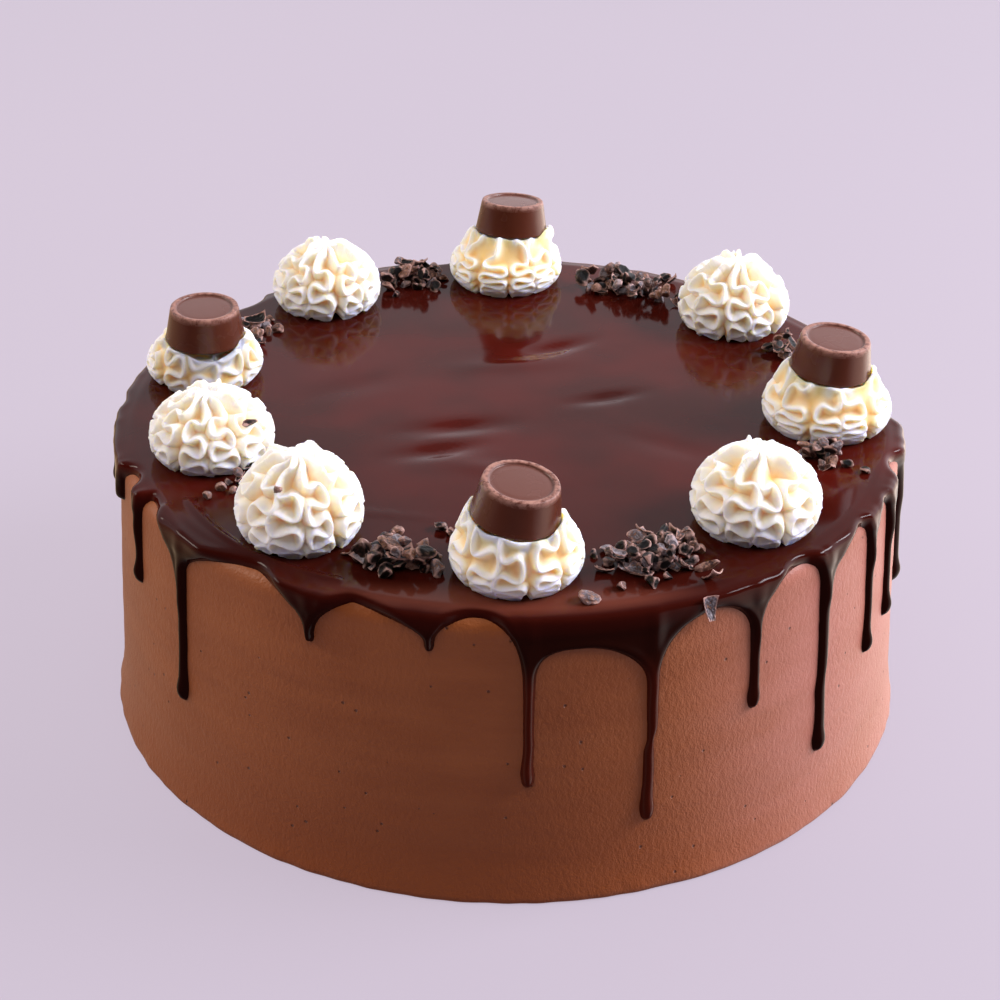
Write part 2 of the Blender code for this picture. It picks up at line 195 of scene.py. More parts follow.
# Dents in the top: x and y of the middle, half of the length and width, turn in degrees, and depth, in mm.
Dent = namedtuple("Dent", "x y length width turn depth")
DENTS = (
    Dent(-17.0, -23.5, 9.0, 3.2, 20.0, 1.05),
    Dent(-13.0, -11.0, 11.0, 3.8, 12.0, 0.95),
    Dent(-4.0, -33.0, 12.0, 3.5, -15.0, -0.35),
    Dent(25.0, 7.0, 7.5, 2.5, 22.0, 0.75),
    Dent(12.8, 37.0, 8.0, 2.7, 30.0, 0.95),
    Dent(0.0, 26.0, 14.0, 4.0, 10.0, -0.3),
    Dent(40.0, -20.0, 12.0, 4.0, -30.0, 0.2),
    Dent(-40.0, 12.0, 12.0, 5.0, 30.0, 0.22),
    Dent(-46.0, -47.4, 3.0, 1.8, -20.0, 0.26),
    Dent(-32.0, -55.5, 14.0, 0.9, -8.0, -0.2),
)

# Piped cream rosettes: centre, width and height, all in millimetres.
Rosette = namedtuple("Rosette", "name x y width height turn")
ROSETTES = (
    Rosette("front", 2.0, -80.9, 31.0, 16.6, 5.0),
    Rosette("front_right", 57.7, -56.7, 31.2, 19.8, 17.0),
    Rosette("right", 80.4, -4.6, 33.2, 15.6, 31.0),
    Rosette("back_right", 61.6, 54.9, 31.0, 19.8, 8.0),
    Rosette("back", -1.8, 83.6, 32.6, 14.6, 24.0),
    Rosette("back_left", -52.0, 64.7, 30.5, 18.4, 39.0),
    Rosette("left", -80.4, 18.0, 30.8, 13.4, 12.0),
    Rosette("left_front", -73.0, -26.5, 31.0, 17.4, 27.0),
    Rosette("front_left", -48.0, -64.8, 30.2, 21.0, 3.0),
)
ROSETTE_WAIST = 0.32  # height of the widest ring, as a share of the whole
ROSETTE_SUNK = 0.3  # mm that its base lies down in the glaze
LOWEST_BEND = -33.0  # degrees round the dome's section, from 90 at the peak
DOME_COLUMNS = 384
DOME_ROWS = 160
RIM_STEPS = 150
# How a rim varies from the others: how many folds it has, how much later it begins, how far it swings as a
# share of its room, how far each fold does as a share of that, and where and how high its tail stands.
RIM_FOLDS = (0.88, 1.12)
RIM_START = (0.0, 0.07)
RIM_SWING = (0.8, 1.0)
FOLD_SWING = (0.7, 1.1)
TAIL_PLACE = (0.10, 0.24)
TAIL_HEIGHT = (0.2, 1.0)
TAIL_LENGTH = 0.07
RIM_UNEVENNESS = 0.06
RIM_SHIFT = 0.14
RIM_STEEPNESS = 2.6  # of the step beside a rim
CREAM_SUNK = 0.4 * MM  # the furthest that its folds go down into the glaze
CREAM_SEED = 40

# Candies: truncated cones with a sunk disc on top. Centre of the base in millimetres, and the lean.
Candy = namedtuple("Candy", "name x y base lean_angle lean")
CANDIES = (
    Candy("front", 1.4, -83.6, 91.4, -32.0, 9.0),
    Candy("right", 80.2, -5.6, 90.6, -20.0, 5.0),
    Candy("back", -0.4, 86.0, 89.4, 75.0, 7.5),
    Candy("left", -79.2, 13.4, 87.9, -60.0, 2.0),
)
CANDY_RADIUS = 10.6 * MM
CANDY_TOP_RADIUS = 8.7 * MM
CANDY_HEIGHT = 10.6 * MM
CANDY_EDGE = 0.6 * MM
CANDY_FOOT = 1.6 * MM  # how far the visible candy ends over the base of the solid, which the cream hides
CANDY_SLOPE = (CANDY_RADIUS - CANDY_TOP_RADIUS) / CANDY_HEIGHT
CANDY_FOOT_RADIUS = CANDY_RADIUS - CANDY_SLOPE * CANDY_FOOT
CANDY_RIM = 1.3 * MM
CANDY_SINK = 0.5 * MM
CANDY_COLUMNS = 144
CANDY_SEEDS = 11.0  # from one candy's dents to the next one's
# How far the cream stands up round a candy, in mm, and how much more at its left and right.
COLLAR = 0.6
COLLAR_EAR = 1.6
LEFT_EAR = 0.2  # share of that at the left
COLLAR_UNEVENNESS = 0.4
# Distances in mm outside the candy's foot between which the cream rises to its collar, is pressed down
# less and less, is drawn up less and less, and no longer counts as near.
COLLAR_RISE = (-0.8, 0.5)
PRESSED_REACH = (0.0, 3.0)
DRAWN_REACH = (0.8, 4.2)
NEAR_REACH = (0.3, 2.0)
# Share of the way down a rosette's dome at which its rims begin, under a candy and without one.
PRESSED = 0.34
BARE = 0.05
# How many folds a pressed rosette has, how deep they are and how much painted yellow glow and shade they
# have, as shares of the others'.
PRESSED_FOLDS = 1.1
PRESSED_DEPTH = 0.5
PRESSED_GLOW = 0.88

# Heaps of cacao nibs: angle and radius of the middle, spread along and across in mm, number, and the
# least and greatest size of a nib.
Heap = namedtuple("Heap", "angle radius along across count smallest largest")
HEAPS = (
    Heap(-106.8, 82.0, 9.0, 6.8, 34, 1.3, 2.9),
    Heap(-66.8, 83.4, 11.5, 7.6, 78, 1.1, 2.3),
    Heap(-19.0, 82.0, 6.0, 5.0, 20, 1.1, 2.3),
    Heap(26.0, 83.0, 6.0, 5.5, 20, 1.1, 2.4),
    Heap(66.5, 83.0, 15.5, 6.5, 70, 1.1, 2.5),
    Heap(110.0, 84.0, 9.0, 6.5, 42, 1.1, 2.5),
    Heap(148.5, 83.5, 7.5, 6.0, 26, 1.1, 2.4),
    Heap(-148.6, 77.5, 5.5, 3.5, 5, 1.1, 2.1),
)
# Single nibs: angle, radius, height over the glaze and size in mm, kind, tone, and the turns in degrees.
Lone = namedtuple("Lone", "angle radius rise size kind tone turn")
LONE_NIBS = (
    Lone(-79.0, 95.0, 0.8, 2.3, 0, 0.85, (0, 15, 20)),
    Lone(-61.5, 95.6, 0.9, 1.8, 6, 0.70, (20, 35, 140)),
    Lone(-63.6, 101.3, -3.2, 2.1, 7, 0.88, (0, 68, -70)),
    Lone(-72.6, 75.6, 0.8, 1.7, 3, 0.93, (0, 20, 60)),
    Lone(-58.6, 84.0, 0.8, 1.6, 5, 0.76, (0, 0, 30)),
    Lone(-20.0, 92.6, 0.6, 1.5, 0, 0.20, (0, 10, 90)),
    Lone(-111.6, 86.0, 1.9, 2.4, 7, 0.98, (50, 20, -50)),
    Lone(-104.0, 65.0, 1.0, 1.9, 3, 0.10, (0, 25, 20)),
    Lone(-101.6, 66.8, 0.8, 1.4, 1, 0.64, (10, 0, 80)),
    Lone(-145.0, 87.2, 0.9, 1.3, 5, 0.84, (0, 0, 0)),
    Lone(-146.2, 82.6, 1.0, 1.5, 5, 0.80, (0, 0, 50)),
    Lone(-144.3, 80.6, 0.8, 1.2, 5, 0.82, (0, 0, 90)),
    Lone(-152.8, 77.4, 1.4, 1.8, 2, 0.66, (20, 20, 50)),
    Lone(-150.6, 73.4, 2.2, 2.0, 6, 0.10, (60, 20, 30)),
)
ROSETTE_NIBS = (("left_front", -32.0, 34.0), ("front_left", -112.0, 44.0))  # angle, height on the dome
NIB_SEED = 31
NIB_TRIES = 6  # for each nib of a heap, since some find no room
HEAP_SPREAD = 0.45
HEAP_HEIGHT = 5.5 * MM
# Shares of a nib's size: how high its middle rests on the glaze, how near another nib's middle comes to its
# own, how much of that is left where one lies on the other, and how far it keeps from the cream.
NIB_REST = 0.42
NIB_TOUCH = 0.7
NIB_SETTLE = 0.62
NIB_ROOM = 0.6
# Kinds of crumb: how each is stretched and how many flat faces are broken off it. Flakes come after them.
CRUMBS = (
    ((1.25, 0.95, 0.75), 9), ((1.05, 0.85, 0.9), 9), ((1.4, 0.75, 0.7), 9), ((1.0, 1.0, 0.65), 9),
    ((1.15, 0.8, 0.8), 9), ((0.9, 0.85, 0.85), 2),
)
FLAKES = 2
KIND_WEIGHTS = (5, 5, 4, 5, 4, 2, 2, 2)

MIDDLE = Vector((0.0, 0.0, 0.05))  # of the cake, which the camera and the lights look at
# Soft elliptical lights: place, width and height in metres, colour, and whether they show in gloss.
Light = namedtuple("Light", "name place width height colour mirrored")
LIGHTS = (
    Light("key", (1.12, 0.13, 0.76), 0.9, 0.9, (0.88, 0.88, 1.0), False),
    Light("glint", (1.05, 0.02, 0.82), 0.9, 0.3, (0.9, 0.91, 1.0), True),
    Light("fill", (-1.15, 0.1, 0.7), 0.8, 0.25, (1.0, 0.9, 0.78), True),
    Light("front", (-0.2, -0.6, 1.5), 1.2, 1.2, (1.0, 0.94, 0.87), False),
)


def linear(red, green, blue):
    """A colour given as 0 to 255 on a screen, as the amounts of light that a material takes."""
    shares = (red / 255, green / 255, blue / 255)
    return tuple(s / 12.92 if s <= 0.04045 else ((s + 0.055) / 1.055) ** 2.4 for s in shares)


# ---------------------------------------------------------------- node trees


def is_vector(value):
    """Whether a maths node has to take this value as a vector."""
    if isinstance(value, Value):
        return value.socket.type == "VECTOR"
    return isinstance(value, (tuple, Vector))


def maths(operation, swapped=False):
    """A method for one of Python's operators. Swapped, it serves a Value at the operator's right."""

    def method(self, other):
        first, second = (other, self) if swapped else (self, other)
        vectors = is_vector(first), is_vector(second)
        kind = "ShaderNodeVectorMath" if any(vectors) else "ShaderNodeMath"
        if operation == "MULTIPLY" and any(vectors) and not all(vectors):
            vector, number = (first, second) if vectors[0] else (second, first)
            return self.nodes.add(kind, {"operation": "SCALE"}, {0: vector, "Scale": number})
        return self.nodes.add(kind, {"operation": operation}, {0: first, 1: second})

    return method


class Value:
    """An output in a node tree. Python's operators on it add the tree's maths nodes."""

    __add__ = maths("ADD")
    __radd__ = maths("ADD", swapped=True)
    __sub__ = maths("SUBTRACT")
    __rsub__ = maths("SUBTRACT", swapped=True)
    __mul__ = maths("MULTIPLY")
    __rmul__ = maths("MULTIPLY", swapped=True)
    __truediv__ = maths("DIVIDE")
    __rtruediv__ = maths("DIVIDE", swapped=True)
    __pow__ = maths("POWER")
    __rpow__ = maths("POWER", swapped=True)

    def __init__(self, nodes, socket):
        self.nodes = nodes
        self.socket = socket

    def between(self, low, high):
        """0 at low, 1 at high and smooth between them."""
        sockets = {"Value": self, "From Min": low, "From Max": high}
        return self.nodes.add("ShaderNodeMapRange", {"interpolation_type": "SMOOTHSTEP"}, sockets)

    def along(self, direction):
        """How far a vector reaches in this direction."""
        settings = {"operation": "DOT_PRODUCT"}
        return self.nodes.add("ShaderNodeVectorMath", settings, {0: self, 1: direction}, "Value")


class Nodes:
    """A node tree that is filled by calls, one for each node."""

    def __init__(self, tree):
        self.tree = tree

    def feed(self, socket, value):
        """Links an output to a socket, or sets the socket to a plain value."""
        if isinstance(value, Value):
            self.tree.links.new(value.socket, socket)
        elif socket.type == "RGBA":
            socket.default_value = (*value[:3], 1.0)
        else:
            socket.default_value = value

    def add(self, kind, settings=None, sockets=None, output=0):
        """A node: its type, its settings, what feeds its sockets, and the output that is wanted."""
        node = self.tree.nodes.new(kind)
        for name, value in (settings or {}).items():
            setattr(node, name, value)
        for name, value in (sockets or {}).items():
            self.feed(node.inputs[name], value)
        return Value(self, node.outputs[output])

    def ramp(self, value, stops):
        """The colour that a value has between stops, each a place from 0 to 1 and its colour."""
        found = self.add("ShaderNodeValToRGB", {}, {"Fac": value})
        elements = found.socket.node.color_ramp.elements
        while len(elements) < len(stops):
            elements.new(0.5)
        for element, (place, colour) in zip(elements, stops):
            element.position = place
            element.color = (*colour[:3], 1.0)
        return found

    def mix(self, first, second, factor):
        """A colour between two, at factor 0 the first."""
        return self.add("ShaderNodeMix", {"data_type": "RGBA"}, {0: factor, 6: first, 7: second}, 2)

    def attribute(self, name):
        return self.add("ShaderNodeAttribute", {"attribute_name": name}, output="Fac")

    def place(self):
        """Where a point lies in the cake's own space."""
        return self.add("ShaderNodeTexCoord", output="Object")

    def noise(self, where, size, detail=2.0, roughness=0.5, stretch=(1.0, 1.0, 1.0)):
        """Cloudy noise from 0 to 1, whose blots have about this size in metres, times the stretch."""
        if stretch != (1.0, 1.0, 1.0):
            where = where * tuple(1.0 / s for s in stretch)
        sockets = {"Vector": where, "Scale": 1.0 / size, "Detail": detail, "Roughness": roughness}
        return self.add("ShaderNodeTexNoise", {}, sockets)


class Finish(Nodes):
    """A material with one shader, whose even properties are set straight on its sockets."""

    def __init__(self, name, even):
        self.material = bpy.data.materials.new(name)
        self.material.use_nodes = True
        super().__init__(self.material.node_tree)
        self.shader = self.tree.nodes["Principled BSDF"]
        for socket, value in even.items():
            self.shader.inputs[socket].default_value = value

    def set(self, socket, value):
        self.feed(self.shader.inputs[socket], value)

    def surface(self, colour, roughness, height, depth, strength=1.0):
        """The material with its varying looks, where a height of 1 stands for this many metres."""
        self.set("Base Color", colour)
        self.set("Roughness", roughness)
        sockets = {"Height": height, "Distance": depth, "Strength": strength}
        self.set("Normal", self.add("ShaderNodeBump", {}, sockets))
        return self.material


class Recipe(Nodes):
    """A Geometry Nodes tree with named inputs."""

    KINDS = {
        "geometry": "NodeSocketGeometry", "object": "NodeSocketObject", "number": "NodeSocketFloat",
        "collection": "NodeSocketCollection", "material": "NodeSocketMaterial",
    }

    def __init__(self, name, inputs):
        super().__init__(bpy.data.node_groups.new(name, "GeometryNodeTree"))
        interface = self.tree.interface
        interface.new_socket("Geometry", in_out="OUTPUT", socket_type="NodeSocketGeometry")
        for label, kind in inputs.items():
            interface.new_socket(label, in_out="INPUT", socket_type=self.KINDS[kind])
        self.start = self.tree.nodes.new("NodeGroupInput")

    def input(self, name):
        return Value(self, self.start.outputs[name])

    def stored(self, name, kind="FLOAT"):
        settings = {"data_type": kind}
        return self.add("GeometryNodeInputNamedAttribute", settings, {"Name": name}, "Attribute")

    def finish(self, geometry):
        """Instances made real, and the finish put on."""
        real = self.add("GeometryNodeRealizeInstances", {}, {"Geometry": geometry})
        sockets = {"Geometry": real, "Material": self.input("Finish")}
        finished = self.add("GeometryNodeSetMaterial", {}, sockets)
        end = self.tree.nodes.new("NodeGroupOutput")
        self.feed(end.inputs["Geometry"], finished)

    def apply(self, obj, values):
        """Runs the tree on an object and leaves the plain mesh that it makes."""
        modifier = obj.modifiers.new(self.tree.name, "NODES")
        modifier.node_group = self.tree
        for item in self.tree.interface.items_tree:
            if item.name in values:
                modifier[item.identifier] = values[item.name]
        bpy.context.view_layer.update()
        evaluated = obj.evaluated_get(bpy.context.evaluated_depsgraph_get())
        mesh = bpy.data.meshes.new_from_object(evaluated)
        obj.modifiers.clear()
        obj.data = mesh


# ---------------------------------------------------------------- meshes


def new_object(name, data, finish=None):
    """An object in the scene, with its finish if it has one yet."""
    obj = bpy.data.objects.new(name, data)
    bpy.context.scene.collection.objects.link(obj)
    if finish:
        data.materials.append(finish)
    return obj


def mesh_from(name, points, faces, edges=()):
    """A smooth-shaded mesh from points and the numbers of those in each face and edge."""
    mesh = bpy.data.meshes.new(name)
    mesh.from_pydata([tuple(p) for p in points], list(edges), faces)
    mesh.validate()
    mesh.shade_smooth()
    return mesh


def mesh_of(bm, name):
    """The mesh that was built in a bmesh, which isn't needed after it."""
    mesh = bpy.data.meshes.new(name)
    bm.to_mesh(mesh)
    bm.free()
    return mesh


def put_attribute(mesh, name, values, kind="FLOAT"):
    """Stores one value for each point of a mesh."""
    field = {"FLOAT": "value", "INT": "value", "FLOAT_VECTOR": "vector"}[kind]
    attribute = mesh.attributes.new(name, kind, "POINT")
    attribute.data.foreach_set(field, np.ravel(values))


def remove(*objects):
    """Removes helper objects with their meshes."""
    for obj in objects:
        mesh = obj.data
        bpy.data.objects.remove(obj)
        bpy.data.meshes.remove(mesh)


def at(angle, radius, height):
    """The point at this angle round the axis."""
    return Vector((radius * math.cos(math.radians(angle)), radius * math.sin(math.radians(angle)), height))


def running_total(steps):
    """The sum before each step and after the last one."""
    return np.concatenate(([0.0], np.cumsum(steps)))


def smooth(value, low, high):
    """0 below low, 1 above high and an even rise between them."""
    share = np.clip((value - low) / (high - low), 0.0, 1.0)
    return share * share * (3.0 - 2.0 * share)


def bell(value, width):
    """1 where the value is 0, and less the further it is from 0."""
    return np.exp(-((value / width) ** 2))


def rough(points, size, seed=0.0):
    """Soft noise between -1 and 1 at each point, with blots of this size."""
    shift = Vector((seed, seed * 1.7, -seed))
    return np.array([noise.noise(Vector(p) / size + shift) for p in points])


def outline(reach, offset):
    """(radius, height) at this reach and this far outside the cake's outline. Below 0 is the flat top."""
    bend = np.clip(reach, 0.0, CORNER_REACH) / CORNER
    fall = np.maximum(0.0, reach - CORNER_REACH)
    flat = np.minimum(0.0, reach)
    radius = CORNER_RADIUS + flat + (CORNER + offset) * np.sin(bend) + fall * math.sin(LEAN)
    return radius, CORNER_HEIGHT + (CORNER + offset) * np.cos(bend) - fall * math.cos(LEAN)


def on_rings(angles, radius, height):
    """Points at these angles, in rows of one radius and height each or as arrays of them."""
    turn = np.radians(angles)
    flat = (radius * np.cos(turn), radius * np.sin(turn), height * np.ones_like(turn))
    return np.stack(flat, axis=-1)


def add_ring(points, rings, made):
    """Adds a ring's points to the others, and their numbers to the rings."""
    rings.append(range(len(points), len(points) + len(made)))
    points.extend(made)


def even_angles(count):
    """Angles evenly spaced round the axis, from 0."""
    return np.arange(count) * 360.0 / count


def fan(middle, ring, downwards=False):
    """Faces from a point on the axis to the ring round it."""
    faces = [(middle, ring[k - 1], ring[k]) for k in range(len(ring))]
    return [(first, third, second) for first, second, third in faces] if downwards else faces


def ring_faces(rings):
    """Faces between rings, from the top down. A ring has as many points as the one above it, or half."""
    faces = []
    for upper, lower in zip(rings, rings[1:]):
        step = len(upper) // len(lower)
        for k in range(len(lower)):
            here, there = lower[k - 1], lower[k]
            if step == 1:
                faces.append((upper[k - 1], here, there, upper[k]))
            else:
                faces.append((upper[2 * k - 2], here, upper[2 * k - 1]))
                faces.append((upper[2 * k - 1], here, there))
                faces.append((upper[2 * k - 1], there, upper[(2 * k) % len(upper)]))
    return faces


def close_turned(points, rings, bottom):
    """The faces of a turned form whose first point is its top, closed with a point at the bottom."""
    faces = ring_faces(rings) + fan(0, rings[0]) + fan(len(points), rings[-1], downwards=True)
    points.append(bottom)
    return faces


# ---------------------------------------------------------------- icing


def make_icing(settings):
    """The buttercream, turned with small unevenness: slow waves, the scraper's bands and a ragged foot."""
    angles = even_angles(ICING_COLUMNS)
    corner_radius, corner_reach = CORNER_RADIUS / MM, CORNER_REACH / MM
    reaches = [corner_radius * share - corner_radius for share in ICING_TOP_RINGS]
    reaches += list(np.linspace(0, corner_reach, ICING_CORNER_ROWS))
    reaches += list(np.linspace(corner_reach, SIDE_END / MM, ICING_SIDE_ROWS))[1:]
    points = [(0.0, 0.0, CAKE_TOP)]
    rings = []
    for reach in reaches:
        radius, height = outline(reach * MM, 0.0)
        share = min(1.0, max(0.0, (FOOT_HEIGHT - height) / (FOOT_HEIGHT - FOOT_EDGE)))
        ring = on_rings(angles, radius + FOOT_FLARE * share ** 2, height)
        relief = settings.waves * rough(ring, WAVE_SIZE, seed=3.1)
        relief += settings.bands * rough(ring * BAND_SHARES, BAND_SIZE, seed=7.7)
        relief += settings.ragged_foot * rough(ring, RAG_SIZE, seed=1.3) * share ** 6
        relief *= 0.0 if reach < 0 else 1.0 - 0.5 * (reach < GLAZED_REACH)
        ring[:, :2] *= (1.0 + relief / radius)[:, None]
        add_ring(points, rings, ring)
    foot = np.array([points[k] for k in rings[-1]])
    foot[:, :2] *= 1.0 - FOOT_EDGE * 0.8 / CAKE_RADIUS
    foot[:, 2] = 0.0
    add_ring(points, rings, foot)
    faces = ring_faces(rings) + fan(0, rings[0])
    faces.append(tuple(reversed(rings[-1])))
    return mesh_from("buttercream", points, faces)


def icing_finish(settings):
    """Whipped chocolate buttercream: satin, finely pitted and a little streaky from the scraper, with
    painted sheen round the right, painted bounce light near the base and painted shade in the pits.
    """
    even = {"Specular IOR Level": 0.4, "Sheen Weight": 0.05, "Sheen Roughness": 0.4,
            "Sheen Tint": (0.75, 0.8, 1.0, 1.0)}
    finish = Finish("buttercream", even)
    place = finish.place()
    streaks = finish.noise(place, 9 * MM, 3.0, 0.6, (6.0, 6.0, 0.8))
    clouds = finish.noise(place, 32 * MM, 2.0)
    # Painted sheen: pinker round the right side, where the strongest light falls.
    pink = place.along((1.0, 0.0, 0.0)).between(30 * MM, 76 * MM)
    plain = finish.mix(settings.colour, settings.pink, pink)
    patches = (streaks * 0.55 + clouds * 0.6).between(0.35, 0.85)
    colour = finish.mix(plain, settings.dark, patches * (1.0 - 0.5 * pink))
    # Painted bounce light and shade: darker and more orange towards the base, less so round the right.
    low = 1.0 - place.along(UP).between(0.0, 50 * MM)
    colour = finish.mix(colour, settings.low, low * 0.8 * (1.0 - 0.8 * pink))
    # Small air holes, dented in by the bump, with painted shade inside them.
    pits = finish.add("ShaderNodeTexVoronoi", {}, {"Vector": place, "Scale": 1 / (5.5 * MM)}, "Distance")
    pit = 1.0 - pits.between(0.045, 0.085)
    colour = finish.mix(colour, settings.pit, pit * 0.8)
    grain = finish.noise(place, 1.1 * MM, 3.0, 0.6, (1.0, 1.0, 1.5))
    pores = finish.noise(place, 0.45 * MM, 1.0)
    return finish.surface(colour, 0.42 + 0.2 * grain, grain * 0.75 + pores * 0.25 - pit, settings.grain)


# ---------------------------------------------------------------- glaze


def all_drips():
    """The drips at the front, and more of the same kind round the back, in order of angle."""
    rng = random.Random(BACK_DRIP_SEED)
    drips = list(FRONT_DRIPS)
    first_angle = FRONT_DRIPS[0].angle + 360.0
    angle = FRONT_DRIPS[-1].angle + BACK_DRIP_SPACING[0]
    last_angle = first_angle - BACK_DRIP_ROOM
    while angle < last_angle:
        spacing = rng.uniform(*BACK_DRIP_SPACING)
        if angle + spacing > last_angle:
            spacing = first_angle - angle
        tip = rng.uniform(*BACK_DRIP_TIP)
        root = min(rng.uniform(*BACK_DRIP_ROOT), tip - 2.0)
        apex_angle = angle + spacing * rng.uniform(0.42, 0.58)
        width = rng.uniform(*BACK_DRIP_WIDTH)
        after = root * rng.uniform(0.88, 1.0)
        drips.append(Drip(angle, tip, width, root, after, apex_angle, rng.uniform(*BACK_DRIP_APEX)))
        angle += spacing
    return drips


def across(angle):
    """The distance in mm round the side from angle 0."""
    return np.radians(angle) * EDGE_RADIUS


def short_way(distance):
    """A distance round the side, taken the short way round."""
    return (distance + across(180.0)) % across(360.0) - across(180.0)


def arch(top_angle, top, foot_across, foot, power):
    """Points (across, reach) from an arch's top to its foot beside a drip."""
    turn = np.linspace(0.0, math.pi / 2, 60)
    span = foot_across - across(top_angle)
    reach = top + (foot - top) * (1.0 - np.cos(turn)) ** power
    return np.stack((across(top_angle) + span * np.sin(turn), np.maximum(reach, LEAST_REACH)), axis=-1)


def run_middle(number, drip, share):
    """How far a run has moved sideways, in mm, at a share of the way down it."""
    place, step = DRIP_NECKS.get(number, NO_NECK)
    lengths = np.ravel(share) * drip.tip
    wander = np.array([noise.noise(Vector((number * 9.1, down / 14.0, 0.5))) for down in lengths])
    return step * smooth(share, place - 0.1, place + 0.1) + 0.5 * wander * np.sin(math.pi * share * 0.5)


def run_half_width(number, drip, share):
    """Half of a run's width: wide where it leaves the edge, thin half way and round at the tip."""
    place, step = DRIP_NECKS.get(number, NO_NECK)
    neck = NECK_THINNING * abs(step) * bell(share - place, 0.05)
    size = 1.0 - RUN_THINNING * np.sin(math.pi * share) - neck
    left = (1.0 - share) * (drip.tip - drip.before)
    return drip.width * RUN_WIDENING / 2 * (size + TIP_SWELLING * bell(left - 1.2, 1.8))


def run_outline(number, drip):
    """Points down one side of a run, round its tip and up the other side."""
    blunt = drip.width * RUN_WIDENING * BLUNTNESS
    length = max(drip.tip - drip.before - blunt, 0.3)
    share = np.linspace(0.0, 1.0, 60)
    middle = across(drip.angle) + run_middle(number, drip, share)
    half = run_half_width(number, drip, share)
    left = np.stack((middle - half, drip.before + share * length), axis=-1)
    right = np.stack((middle + half, drip.after + share * (length + drip.before - drip.after)), axis=-1)
    turn = np.linspace(0.0, math.pi, 24)[1:-1]
    tip_across = middle[-1] - half[-1] * np.cos(turn)
    tip_reach = left[-1, 1] + TIP_STRETCH * half[-1] * np.sin(turn)
    return np.concatenate((left, np.stack((tip_across, tip_reach), axis=-1), right[::-1]))


def glaze_outline(drips):
    """Points (across, reach) along the glaze's lower edge, a little further round than once."""
    stretches = []
    for number in range(-2, len(drips) + 2):
        place = number % len(drips)
        drip = drips[place]
        turns = across(360.0) * (number // len(drips))
        previous = drips[place - 1]
        before, after = ARCH_POWERS.get(place, (1.0, 1.0))
        run = run_outline(place, drip)
        top_angle = previous.apex_angle - (360.0 if previous.apex_angle > drip.angle else 0.0)
        stretch = np.concatenate((
            arch(top_angle, previous.apex, run[0, 0], drip.before, before),
            run,
            arch(drip.apex_angle, drip.apex, run[-1, 0], drip.after, after)[::-1],
        ))
        stretch[:, 0] += turns
        stretches.append(stretch)
    points = np.concatenate(stretches)
    along = running_total(np.hypot(*np.diff(points, axis=0).T))
    even = np.arange(0.0, along[-1], EDGE_STEP)
    return np.stack([np.interp(even, along, values) for values in points.T], axis=-1)


def column_angles(drips):
    """The angles of the glaze's columns, close together at the drips and wider between them."""
    start = drips[0].angle - 6.0
    angle = np.linspace(start, start + 360.0, 20001)
    density = np.full_like(angle, 1.0 / FAR_SPACING)
    for drip in drips:
        gap = short_way(across(angle) - across(drip.angle))
        near = np.exp(-((gap / NEAR_DRIP) ** 6))
        density = np.maximum(density, near / NEAR_SPACING)
    total = running_total((density[1:] + density[:-1]) / 2)
    return np.interp(np.arange(COLUMNS) * total[-1] / COLUMNS, total, angle)


def edge_distance(edge, columns, rows):
    """How far inside the glaze's edge each point of the grid lies, in mm, below 0 outside."""
    tree = KDTree(len(edge))
    for k, (x, y) in enumerate(edge):
        tree.insert((x, y, 0.0), k)
    tree.balance()
    distance = np.array([[tree.find((x, y, 0.0))[2] for x in columns] for y in rows])
    inside = np.zeros_like(distance, dtype=bool)
    before, after = edge[:-1], edge[1:]
    for k, x in enumerate(columns):
        crossing = np.nonzero((before[:, 0] <= x) != (after[:, 0] <= x))[0]
        share = (x - before[crossing, 0]) / (after[crossing, 0] - before[crossing, 0])
        reaches = before[crossing, 1] + share * (after[crossing, 1] - before[crossing, 1])
        inside[:, k] = (reaches[None, :] > rows[:, None]).sum(axis=1) % 2 == 1
    return np.where(inside, distance, -distance)


def ripple_height(ripple, x, y):
    """A low ridge along a line of points."""
    points = np.array([(across(angle), reach) for angle, reach in ripple.points])
    nearest = np.full(np.broadcast(x, y).shape, 1e9)
    for start, end in zip(points, points[1:]):
        run = end - start
        along, down = x - start[0], y - start[1]
        share = np.clip((along * run[0] + down * run[1]) / (run @ run), 0.0, 1.0)
        nearest = np.minimum(nearest, np.hypot(along - share * run[0], down - share * run[1]))
    return ripple.height * bell(nearest, ripple.width)


def dent_depth(x, y):
    """How deep the dents are at points of the top, in mm."""
    depth = np.zeros_like(x)
    for dent in DENTS:
        turn = math.radians(dent.turn)
        along = (x - dent.x) * math.cos(turn) + (y - dent.y) * math.sin(turn)
        aside = (y - dent.y) * math.cos(turn) - (x - dent.x) * math.sin(turn)
        depth += dent.depth * np.exp(-((along / dent.length) ** 2) - (aside / dent.width) ** 2)
    return depth


def evened(height):
    """The grid's heights, each drawn towards those beside it."""
    beside = (np.roll(height, 1, axis=1) + np.roll(height, -1, axis=1)) / 2
    stacked = height.copy()
    stacked[1:-1] = (height[:-2] + height[2:]) / 2
    return height * 0.5 + beside * 0.25 + stacked * 0.25


